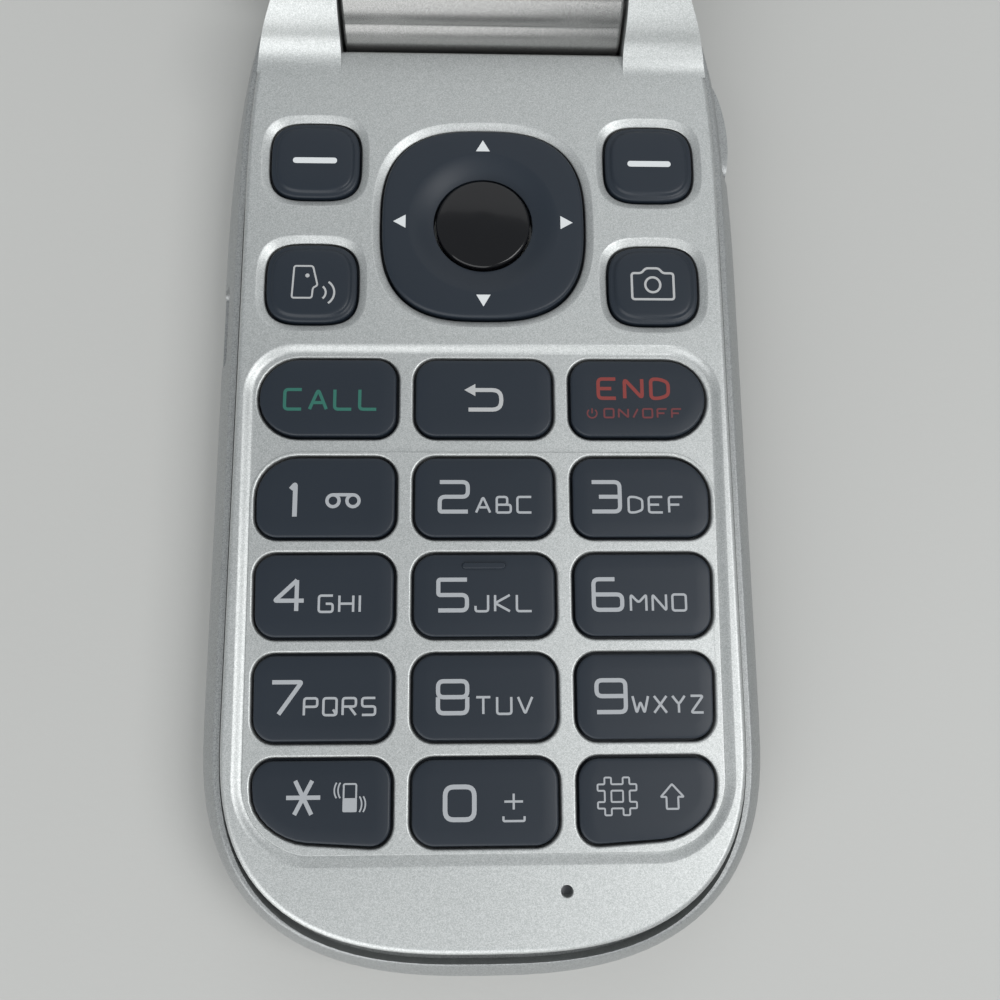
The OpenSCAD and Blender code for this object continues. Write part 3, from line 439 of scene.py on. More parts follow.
class Solid:
    """Closed shape in millimetres that other shapes are cut from or joined to."""

    def __init__(self) -> None:
        """Starts with an empty mesh."""
        self.mesh = bmesh.new()

    @classmethod
    def loft(cls, rings: Rings) -> "Solid":
        """Solid through outlines of equal count, each at its height, the first and last of them filled.

        Args:
            rings: Heights with their outlines.

        Returns:
            The solid.
        """
        solid = cls()
        height, outline = rings[0]
        loop = [solid.mesh.verts.new((x, y, height)) for x, y in outline]
        edges = [solid.mesh.edges.new(pair) for pair in zip(loop, loop[1:] + loop[:1])]
        bmesh.ops.edgeloop_fill(solid.mesh, edges=edges)
        for height, outline in rings[1:]:
            loop, edges = next_loop(solid.mesh, loop, edges, [(x, y, height) for x, y in outline])
        bmesh.ops.edgeloop_fill(solid.mesh, edges=edges)
        bmesh.ops.recalc_face_normals(solid.mesh, faces=solid.mesh.faces[:])
        return solid

    @classmethod
    def prism(cls, outline: Outline, z0: float, z1: float) -> "Solid":
        """Upright prism on an outline from z0 to z1."""
        return cls.loft([(z0, outline), (z1, outline)])

    @classmethod
    def grown(cls, outline: Callable[[float], Outline], profile: Sequence[Point], *places: Point) -> "Solid":
        """Solid through one outline's growths, about the origin or once at each of the given places.

        Args:
            outline: The outline for a growth.
            profile: Heights with growths.
            places: Where it stands.

        Returns:
            The solid.
        """
        rings = [(z, outline(g)) for z, g in profile]
        if not places:
            return cls.loft(rings)
        return cls().add(*(cls.loft([(z, moved(ring, x, y)) for z, ring in rings]) for x, y in places))

    @classmethod
    def block(cls, x: Point, y: Point, z: Point) -> "Solid":
        """Box between the given limits.

        Args:
            x: Limits along X.
            y: Limits along Y.
            z: Limits along Z.

        Returns:
            The box.
        """
        solid = cls()
        bmesh.ops.create_cube(solid.mesh, size=1)
        bmesh.ops.scale(solid.mesh, vec=(x[1] - x[0], y[1] - y[0], z[1] - z[0]), verts=solid.mesh.verts[:])
        return solid.shift(sum(x) / 2, sum(y) / 2, sum(z) / 2)

    @classmethod
    def along_x(cls, rings: Rings, y: float = 0.0, z: float = 0.0) -> "Solid":
        """Solid through outlines in Y and Z, each at its place along X, shifted by y and z."""
        return cls.loft(rings).turn(ALONG_X).shift(0, y, z)

    @classmethod
    def bar(cls, outline: Outline, x0: float, x1: float) -> "Solid":
        """Bar along X on an outline in Y and Z."""
        return cls.along_x([(x0, outline), (x1, outline)])

    @classmethod
    def rod(cls, radius: float, x0: float, x1: float, y: float, z: float, steps: int = 96) -> "Solid":
        """Round rod along X."""
        return cls.bar(circle(radius, steps), x0, x1).shift(0, y, z)

    def shift(self, x: float, y: float, z: float) -> "Solid":
        """Moves the solid."""
        bmesh.ops.translate(self.mesh, vec=(x, y, z), verts=self.mesh.verts[:])
        return self

    def turn(self, matrix: Matrix) -> "Solid":
        """Turns the solid about the origin."""
        bmesh.ops.transform(self.mesh, matrix=matrix, verts=self.mesh.verts[:])
        return self

    def add(self, *others: "Solid") -> "Solid":
        """Takes in other solids that don't touch this one.

        Args:
            others: The other solids, which are used up.

        Returns:
            This solid.
        """
        for other in others:
            data = other.data("taken")
            self.mesh.from_mesh(data)
            bpy.data.meshes.remove(data)
            other.mesh.free()
        return self

    def data(self, name: str) -> bpy.types.Mesh:
        """New mesh data of the solid.

        Args:
            name: Name of the data.

        Returns:
            The data.
        """
        data = bpy.data.meshes.new(name)
        self.mesh.to_mesh(data)
        return data

    def combine(self, other: "Solid", how: Combine) -> "Solid":
        """Combines this solid with another, which is used up.

        Args:
            other: The other solid.
            how: The way to combine them.

        Returns:
            This solid.
        """
        pair = [placed("shape", solid.data("shape")) for solid in (self, other)]
        modifier = pair[0].modifiers.new("Combine", "BOOLEAN")
        modifier.operation, modifier.object, modifier.solver = how.value, pair[1], "MANIFOLD"
        graph = bpy.context.evaluated_depsgraph_get()
        result = bpy.data.meshes.new_from_object(pair[0].evaluated_get(graph), depsgraph=graph)
        self.mesh.clear()
        self.mesh.from_mesh(result)
        other.mesh.free()
        for made in pair:
            data = made.data
            bpy.data.objects.remove(made)
            bpy.data.meshes.remove(data)
        bpy.data.meshes.remove(result)
        return self

    def cut(self, *others: "Solid") -> "Solid":
        """Takes other solids away, one after another.

        Args:
            others: The other solids, which are used up.

        Returns:
            This solid.
        """
        for other in others:
            self.combine(other, Combine.CUT)
        return self

    def join(self, *others: "Solid") -> "Solid":
        """Joins other solids on, one after another.

        Args:
            others: The other solids, which are used up.

        Returns:
            This solid.
        """
        for other in others:
            self.combine(other, Combine.JOIN)
        return self

    def meet(self, other: "Solid") -> "Solid":
        """Keeps what both solids share."""
        return self.combine(other, Combine.MEET)

    def soften(self, width: float, segments: int, chosen: Callable[[bmesh.types.BMEdge], bool]) -> "Solid":
        """Rounds the chosen edges.

        Args:
            width: Reach of the rounding.
            segments: Steps across it.
            chosen: Says whether an edge is rounded.

        Returns:
            This solid.
        """
        edges = [e for e in self.mesh.edges if len(e.link_faces) == 2 and chosen(e)]
        bmesh.ops.bevel(self.mesh, geom=edges, offset=width, offset_type="OFFSET", segments=segments,
                        profile=0.5, affect="EDGES", material=-1, clamp_overlap=True)
        return self

    def swing_open(self, sizes: Sizes) -> "Solid":
        """Turns the solid from the closed lid's place to the open one's.

        Args:
            sizes: The shared sizes.

        Returns:
            This solid.
        """
        axis = Vector((0, sizes.hinge_y, sizes.hinge_z))
        spin = Matrix.Rotation(math.radians(-sizes.open_angle), 4, "X")
        return self.turn(Matrix.Translation(axis) @ spin @ Matrix.Translation(-axis))

    def piece(self, name: str, body: str, slot: Slot, finishes: Sequence["Finish"],
              replaces: Sequence[str] = (), angle: float = 30.0) -> bpy.types.Object:
        """Makes the solid a piece of the phone.

        Args:
            name: The piece's name.
            body: The CAD body that it rides on.
            slot: The record's material slot; not used.
            finishes: Finishes in the order of the faces' material indices.
            replaces: CAD nodes that it stands for.
            angle: Edges sharper than this many degrees stay sharp.

        Returns:
            The piece's object.
        """
        bmesh.ops.scale(self.mesh, vec=(MM, MM, MM), verts=self.mesh.verts[:])
        data = self.data(name)
        self.mesh.free()
        data.shade_smooth()
        data.set_sharp_from_angle(angle=math.radians(angle))
        for finish in finishes:
            data.materials.append(finish.material())
        made = placed(name, data)
        modifier = made.modifiers.new("Even shading", "WEIGHTED_NORMAL")
        modifier.keep_sharp = True
        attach(made, body)
        if replaces:
            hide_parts(*replaces)
        LOG.info("%s rides on %s: %d faces", name, body, len(data.polygons))
        return made


def lies_at(edge: bmesh.types.BMEdge, axis: int, place: float) -> bool:
    """Whether an edge lies at a place along an axis, 0 to 2 for X to Z."""
    return all(abs(vert.co[axis] - place) < 0.01 for vert in edge.verts)


def rounding(z: float, grow: float, radius: float, steps: int = 5, outward: bool = False) -> Outline:
    """Heights and growths along a quarter round at an upper edge.

    Args:
        z: Height of the upper face.
        grow: Growth of the outline below the round.
        radius: Radius of the round.
        steps: Steps along it.
        outward: Whether it flares outwards, as at the mouth of a hole.

    Returns:
        Pairs of height and growth, lowest first.
    """
    way = radius if outward else -radius
    angles = [math.radians(90 * i / steps) for i in range(steps + 1)]
    return [(z - radius + radius * math.sin(t), grow + way * (1 - math.cos(t))) for t in angles]


# ---- Finishes ----


def fill(node: bpy.types.Node, values: dict[str, object]) -> None:
    """Sets a node's inputs."""
    for name, value in values.items():
        node.inputs[name].default_value = value


def surface_group() -> bpy.types.NodeTree:
    """Shared node group: fine grain, broad clouding and scattered flakes over a surface.

    Returns:
        The node group.
    """
    tree = bpy.data.node_groups.get("Surface variation")
    if tree:
        return tree
    tree = bpy.data.node_groups.new("Surface variation", "ShaderNodeTree")
    face = tree.interface
    face.new_socket("Place", in_out="INPUT", socket_type="NodeSocketVector")
    for name, value in (("Grain scale", 9000.0), ("Cloud scale", 60.0), ("Flake scale", 14000.0)):
        face.new_socket(name, in_out="INPUT", socket_type="NodeSocketFloat").default_value = value
    for name in ("Grain", "Cloud", "Flakes"):
        face.new_socket(name, in_out="OUTPUT", socket_type="NodeSocketFloat")
    nodes, links = tree.nodes, tree.links
    start, end = nodes.new("NodeGroupInput"), nodes.new("NodeGroupOutput")
    for source, target, detail in (("Grain scale", "Grain", 2.0), ("Cloud scale", "Cloud", 3.0)):
        noise = nodes.new("ShaderNodeTexNoise")
        noise.inputs["Detail"].default_value = detail
        links.new(start.outputs["Place"], noise.inputs["Vector"])
        links.new(start.outputs[source], noise.inputs["Scale"])
        links.new(noise.outputs["Fac"], end.inputs[target])
    cells = nodes.new("ShaderNodeTexVoronoi")
    links.new(start.outputs["Place"], cells.inputs["Vector"])
    links.new(start.outputs["Flake scale"], cells.inputs["Scale"])
    split = nodes.new("ShaderNodeSeparateColor")
    links.new(cells.outputs["Color"], split.inputs["Color"])
    links.new(split.outputs["Red"], end.inputs["Flakes"])
    return tree


@dataclass(frozen=True)
class Finish:
    """Procedural finish of one surface."""

    name: str
    colour: Triple
    rough: float = 0.5
    metal: float = 0.0
    coat: float = 0.0
    coat_rough: float = 0.1
    specular: float = 0.5
    tint: float = 0.06
    flakes: float = 0.0
    grain: float = 9000.0
    grain_depth: float = 0.004
    cloud: float = 60.0
    flake_scale: float = 14000.0
    rough_swing: float = 0.05

    def material(self) -> bpy.types.Material:
        """The finish's material, made on its first use.

        Returns:
            The material.
        """
        made = bpy.data.materials.get(self.name)
        if made:
            return made
        made = bpy.data.materials.new(self.name)
        made.use_nodes = True
        nodes, links = made.node_tree.nodes, made.node_tree.links
        shader = nodes["Principled BSDF"]
        fill(shader, {"Metallic": self.metal, "Specular IOR Level": self.specular,
                      "Coat Weight": self.coat, "Coat Roughness": self.coat_rough})
        place = nodes.new("ShaderNodeTexCoord")
        group = nodes.new("ShaderNodeGroup")
        group.node_tree = surface_group()
        fill(group, {"Grain scale": self.grain, "Cloud scale": self.cloud, "Flake scale": self.flake_scale})
        links.new(place.outputs["Object"], group.inputs["Place"])
        colour = self._shade(nodes, links, group.outputs["Cloud"], self.colour, self.tint)
        if self.flakes:
            flake = nodes.new("ShaderNodeMix")
            flake.data_type, flake.blend_type = "RGBA", "OVERLAY"
            fill(flake, {"Factor": self.flakes})
            links.new(colour, flake.inputs["A"])
            links.new(group.outputs["Flakes"], flake.inputs["B"])
            colour = flake.outputs["Result"]
        links.new(colour, shader.inputs["Base Color"])
        spread = nodes.new("ShaderNodeMapRange")
        fill(spread, {"To Min": self.rough - self.rough_swing, "To Max": self.rough + self.rough_swing})
        links.new(group.outputs["Cloud"], spread.inputs["Value"])
        links.new(spread.outputs["Result"], shader.inputs["Roughness"])
        bump = nodes.new("ShaderNodeBump")
        fill(bump, {"Strength": 1.0, "Distance": self.grain_depth * MM})
        links.new(group.outputs["Grain"], bump.inputs["Height"])
        links.new(bump.outputs["Normal"], shader.inputs["Normal"])
        return made

    @staticmethod
    def _shade(nodes: bpy.types.Nodes, links: bpy.types.NodeLinks, mask: bpy.types.NodeSocket,
               colour: Triple, tint: float) -> bpy.types.NodeSocket:
        """Colour that wanders a little darker and lighter with a mask.

        Args:
            nodes: The material's nodes.
            links: The material's links.
            mask: Value from 0 to 1.
            colour: The middle colour.
            tint: How far it wanders, as a share.

        Returns:
            The socket that gives the colour.
        """
        shade = nodes.new("ShaderNodeMix")
        shade.data_type = "RGBA"
        fill(shade, {"A": (*(c * (1 - tint) for c in colour), 1),
                     "B": (*(min(1, c * (1 + tint)) for c in colour), 1)})
        links.new(mask, shade.inputs["Factor"])
        return shade.outputs["Result"]


SILVER = Finish("Silver paint", (0.50, 0.515, 0.51), rough=0.47, metal=0.8, coat=0.1, coat_rough=0.38,
                flakes=0.22, flake_scale=16000, grain=6000, grain_depth=0.0022, tint=0.03)
GREY = Finish("Grey shell paint", (0.30, 0.31, 0.31), rough=0.42, metal=0.45, flakes=0.3, flake_scale=16000,
              grain=6000, grain_depth=0.003, tint=0.04)
SATIN = Finish("Satin metallic barrel", (0.245, 0.245, 0.24), rough=0.25, metal=0.85, flakes=0.15, tint=0.03)
SLATE = Finish("Slate key plastic", (0.014, 0.02, 0.029), rough=0.4, specular=0.33, grain=11000,
               grain_depth=0.005, tint=0.1)
LEGEND = Finish("Legend print", (0.34, 0.355, 0.375), rough=0.6, tint=0.05)
WHITE = Finish("White print", (0.62, 0.64, 0.65), rough=0.55, tint=0.03)
PALE = Finish("Pale print", (0.40, 0.405, 0.41), rough=0.55, tint=0.03)
GREEN = Finish("Green print", (0.014, 0.12, 0.09), rough=0.6, tint=0.05)
RED = Finish("Red print", (0.2, 0.024, 0.02), rough=0.6, tint=0.05)
DULL_RED = Finish("Faint red print", (0.12, 0.02, 0.024), rough=0.6, tint=0.05)
BLACK = Finish("Black gloss", (0.004, 0.004, 0.005), rough=0.12, specular=0.3, coat=0.15, coat_rough=0.05,
               grain=900, grain_depth=0.0008, rough_swing=0.03)
GLASS = Finish("Dark window", (0.006, 0.006, 0.008), rough=0.07, coat=1.0, coat_rough=0.03,
               grain=700, grain_depth=0.0004, rough_swing=0.02)
RUBBER = Finish("Black rubber", (0.02, 0.02, 0.021), rough=0.75, grain=4000, grain_depth=0.01)
CARRIED: dict[str, tuple[Slot, Finish]] = {
    "battery": (Slot.LABEL, Finish("Battery wrap", (0.05, 0.055, 0.07), rough=0.5)),
    "battery_contacts": (Slot.CONTACTS, Finish("Gold contacts", (0.75, 0.52, 0.2), rough=0.25, metal=1.0)),
    "main_board": (Slot.BOARD, Finish("Board lacquer", (0.02, 0.11, 0.05), rough=0.4, coat=0.5, tint=0.2,
                                      cloud=900)),
    "lid_board": (Slot.BOARD, Finish("Lid board lacquer", (0.02, 0.1, 0.06), rough=0.4, coat=0.5, tint=0.2,
                                     cloud=900)),
    "shield_cans": (Slot.SHIELD, Finish("Tinned steel", (0.62, 0.62, 0.64), rough=0.32, metal=1.0)),
    "dome_sheet": (Slot.DOMES, Finish("Dome film", (0.7, 0.71, 0.7), rough=0.4)),
    "keypad_mat": (Slot.SILICONE, Finish("Clear silicone", (0.55, 0.57, 0.6), rough=0.55)),
    "nav_pivot": (Slot.SILICONE, Finish("Pivot rubber", (0.5, 0.52, 0.55), rough=0.6)),
    "microphone": (Slot.COMPONENT, Finish("Microphone can", (0.16, 0.16, 0.17), rough=0.4, metal=0.8)),
    "loudspeaker": (Slot.COMPONENT, Finish("Loudspeaker frame", (0.06, 0.06, 0.065), rough=0.6)),
    "antenna": (Slot.COMPONENT, Finish("Antenna carrier", (0.09, 0.09, 0.1), rough=0.6)),
    "sim_holder": (Slot.SHIELD, Finish("Pressed steel", (0.55, 0.55, 0.57), rough=0.35, metal=1.0)),
    "volume_switch": (Slot.COMPONENT, Finish("Switch body", (0.6, 0.58, 0.5), rough=0.5)),
    "vibration_motor": (Slot.STEEL, Finish("Motor can", (0.55, 0.55, 0.56), rough=0.28, metal=1.0)),
    "base_screws": (Slot.STEEL, Finish("Blacked screws", (0.08, 0.08, 0.085), rough=0.35, metal=1.0)),
    "lid_screws": (Slot.STEEL, Finish("Blacked lid screws", (0.08, 0.08, 0.09), rough=0.35, metal=1.0)),
    "hinge_shaft": (Slot.STEEL, Finish("Hinge steel", (0.5, 0.5, 0.51), rough=0.3, metal=1.0)),
    "hinge_cam_housing": (Slot.STEEL, Finish("Cam cartridge", (0.4, 0.4, 0.41), rough=0.35, metal=1.0)),
    "hinge_bush": (Slot.BUSH, Finish("Black acetal", (0.02, 0.02, 0.021), rough=0.45)),
    "lid_flex_cable": (Slot.FLEX, Finish("Amber film", (0.45, 0.2, 0.03), rough=0.35, coat=0.4)),
    "display_panel": (Slot.DISPLAY, Finish("Display glass", (0.015, 0.016, 0.02), rough=0.2)),
    "sub_display_panel": (Slot.DISPLAY, Finish("Outer display glass", (0.015, 0.016, 0.018), rough=0.2)),
    "earpiece": (Slot.COMPONENT, Finish("Earpiece frame", (0.05, 0.05, 0.055), rough=0.6)),
    "camera_module": (Slot.COMPONENT, Finish("Camera body", (0.02, 0.02, 0.022), rough=0.4)),
    "lid_magnet": (Slot.STEEL, Finish("Plated magnet", (0.5, 0.5, 0.5), rough=0.3, metal=1.0)),
}


# ---- Base ----


@dataclass
class Deck:
    """Silver keypad deck with the two ears of the hinge."""

    sizes: Sizes
    edge: float = 0.5
    slope: float = 1.0
    recess: float = 0.4
    field_rise: float = 0.15
    mouth: float = 0.26
    mic_mouth: float = 0.12
    over: float = 0.003
    slant: tuple[Point, ...] = ((0.44, 0.0), (0.4, 0.03), (0.36, 0.1), (0.06, 0.6), (0.02, 0.69),
                                (-0.003, 0.78))
    recess_r: float = 3.9
    mic_r: float = 0.5
    shaft_hole_r: float = 2.6
    shaft_flat: float = 1.8
    lip: float = 0.4
    fillet: float = 3.0
    lean: float = 2.0

    def build(self) -> None:
        """Makes the deck."""
        s = self.sizes
        deck = Solid.grown(s.deck_plan, [(s.skirt_z, 0.0)] + rounding(s.deck_z, 0, self.edge))
        for side in (-1, 1):
            deck.join(self.ear(side))
        deck.cut(self.recess_tool()).join(self.field_plate())
        deck.cut(self.trough(), self.pocket(), self.holes())
        deck.cut(Solid.rod(s.bore_r - 0.05, -s.ear_x - 4, 0, s.hinge_y, s.hinge_z),
                 self.shaft_hole(), *side_tools(s))
        deck.piece("deck", "base", Slot.SILVER, [SILVER], ["front_housing"], 25)

    def shaft_hole(self) -> Solid:
        """What the shaft's end with its two flats takes away from the right ear.

        Returns:
            The solid to cut away.
        """
        s, flat = self.sizes, self.shaft_flat
        hole = Solid.rod(self.shaft_hole_r, 0, s.ear_x + 4, s.hinge_y, s.hinge_z)
        return hole.meet(Solid.block((0, 40), (s.hinge_y - flat, s.hinge_y + flat), (0, 30)))

    def ear(self, side: int) -> Solid:
        """One ear: a round on the hinge axis, a hollow fillet down to the deck and soft edges.

        Args:
            side: 1 for the right ear, -1 for the left.

        Returns:
            The ear.
        """
        s, r = self.sizes, self.fillet
        y = s.fillet_start(r)
        start = math.atan2(s.hinge_z - s.deck_z - r, s.hinge_y - y)
        profile = arc(y, s.deck_z + r, r, r, -90, math.degrees(start))
        turn = math.atan2(profile[-1][1] - s.hinge_z, profile[-1][0] - s.hinge_y)
        profile += arc(s.hinge_y, s.hinge_z, s.ear_r, s.ear_r, math.degrees(turn), 0, 32)[1:]
        profile += [(s.end_y, s.skirt_z), (y, s.skirt_z)]
        bar = Solid.bar(profile, *((s.ear_x, 40) if side > 0 else (-40, -s.ear_x)))
        high = s.hinge_z + s.ear_r
        sides = [(s.skirt_z, self.over)]
        for i in range(13):
            v = i / 12
            sides.append((mix(s.deck_z, high, v), self.over - self.lean * v ** 1.5))
        return bar.meet(Solid.grown(s.deck_plan, sides)).soften(self.edge, 4, self.at_ear_side)

    def at_ear_side(self, edge: bmesh.types.BMEdge) -> bool:
        """Whether an edge lies between an ear's side and its round.

        Args:
            edge: The edge.

        Returns:
            True for an edge that is softened.
        """
        across = sorted(abs(f.normal.x) for f in edge.link_faces)
        high = min(v.co.z for v in edge.verts) > self.sizes.deck_z - 0.2
        return high and across[0] < 0.3 and across[1] > 0.6 and edge.calc_face_angle(0) > 0.5

    def recess_tool(self) -> Solid:
        """What the shallow recess round the keys takes away.

        Returns:
            The solid to cut away.
        """
        s = self.sizes
        low, top_y = s.deck_z - self.recess, s.call_y + s.key_h / 2 + 0.4
        profile = []
        for i in range(9):
            v = i / 8
            profile.append((low + (self.recess + 0.004) * v * v * (3 - 2 * v), v * self.slope))
        profile.append((s.deck_z + 2, self.slope))
        return Solid.grown(lambda g: s.field(top_y, self.recess_r, g), profile)

    def field_plate(self) -> Solid:
        """Raised field that the number keys stand in.

        Returns:
            The plate.
        """
        s = self.sizes
        top = s.deck_z - self.recess + self.field_rise
        top_y = s.row_1_y + s.key_h / 2 + 0.4
        profile = [(s.deck_z - 1, 0.02)] + rounding(top, 0.02, 0.12, 3)
        return Solid.grown(lambda g: s.field(top_y, s.sweep_r - 0.8, g), profile)

    def trough(self) -> Solid:
        """What the barrel's trough takes away, with a soft lip at the deck.

        Returns:
            The solid to cut away.
        """
        s, r = self.sizes, self.lip
        edge_y = s.hinge_y - math.sqrt(s.trough_r ** 2 - (s.hinge_z - s.deck_z + r) ** 2)
        low = math.degrees(math.atan2(s.deck_z - r - s.hinge_z, edge_y - s.hinge_y))
        profile = [(edge_y - r, 30.0)] + arc(edge_y - r, s.deck_z - r, r, r, 90, 0, 6)
        profile += arc(s.hinge_y, s.hinge_z, s.trough_r, s.trough_r, low, -90, 16)[1:]
        profile += [(70.0, s.hinge_z - s.trough_r), (70.0, 30.0)]
        return Solid.bar(profile, -s.ear_x, s.ear_x)

    def pocket(self) -> Solid:
        """Room under the deck.

        Returns:
            The solid to cut away.
        """
        s = self.sizes
        end = s.hinge_y - s.trough_r - s.wall
        return Solid.prism(s.deck_plan(-s.wall), s.skirt_z - 1, s.deck_z - s.deck_t).meet(
            Solid.block(ALL, (-FAR, end), (0, 20)))

    def funnel(self, outline: Callable[[float], Outline], place: Point, mouth: Sequence[Point]) -> Solid:
        """What a key's hole with its soft mouth takes away.

        Args:
            outline: The hole's outline for a growth.
            place: Centre of the hole.
            mouth: Heights and growths along the mouth, lowest first.

        Returns:
            The solid to cut away.
        """
        high = self.sizes.deck_z
        profile = [(high - 3, 0.0), *mouth, (high + 3, mouth[-1][1])]
        return Solid.grown(outline, profile).shift(*place, 0)

    def round_mouth(self, top: float, radius: float) -> Outline:
        """Heights and growths along a rounded mouth in the face at top."""
        return rounding(top + self.over, 0, radius, 5, outward=True)

    def holes(self) -> Solid:
        """All the holes of the deck in one solid.

        Returns:
            The solid to cut away.
        """
        s = self.sizes
        low = s.deck_z - self.recess
        number_mouth = self.round_mouth(low + self.field_rise, self.mouth)
        call_mouth = self.round_mouth(low, self.mouth)
        soft_mouth = [(s.deck_z - z, g) for z, g in self.slant]
        tools = Solid()
        for k in range(12):
            tools.add(self.funnel(lambda g, k=k: s.number_key(k, g), s.number_place(k), number_mouth))
        for k in range(3):
            tools.add(self.funnel(lambda g, k=k: s.call_key(k, g), s.call_place(k), call_mouth))
        for k in range(4):
            tools.add(self.funnel(s.soft_key, s.soft_place(k), soft_mouth))
        tools.add(self.funnel(s.ring_key, (0, s.ring_y), soft_mouth))
        mic_mouth = self.round_mouth(s.deck_z, self.mic_mouth)
        return tools.add(self.funnel(lambda g: circle(self.mic_r + g, 32), s.mic, mic_mouth))


def at_rocker(shape: Solid, s: Sizes) -> Solid:
    """Puts a shape drawn outwards along X from the rocker's back in its place on the slanting side."""
    turn = Matrix.Rotation(math.radians(s.rocker_turn), 4, "Z")
    return shape.turn(turn).shift(s.rocker_back_x, s.rocker_y, s.rocker_z)


def side_tools(s: Sizes) -> list[Solid]:
    """What the connector's and the rocker's openings take away from a shell's side walls.

    Args:
        s: The shared sizes.

    Returns:
        The solids to cut away.
    """
    opening = rounded(s.port_w + 2 * s.port_gap, s.port_h + 2 * s.port_gap, 0.6)
    port = Solid.bar(opening, -40, -s.port_x + s.port_depth + s.port_gap).shift(0, s.port_y, s.port_z)
    rocker = at_rocker(Solid.bar(rounded(s.rocker_l + 0.5, s.rocker_h + 0.5, 1.4), -0.25, 20), s)
    switch = Solid.block((s.rocker_back_x - 3.35, s.rocker_back_x), (s.rocker_y - 3.75, s.rocker_y + 3.75),
                         (6.85, 8.5))
    return [port, rocker, switch]


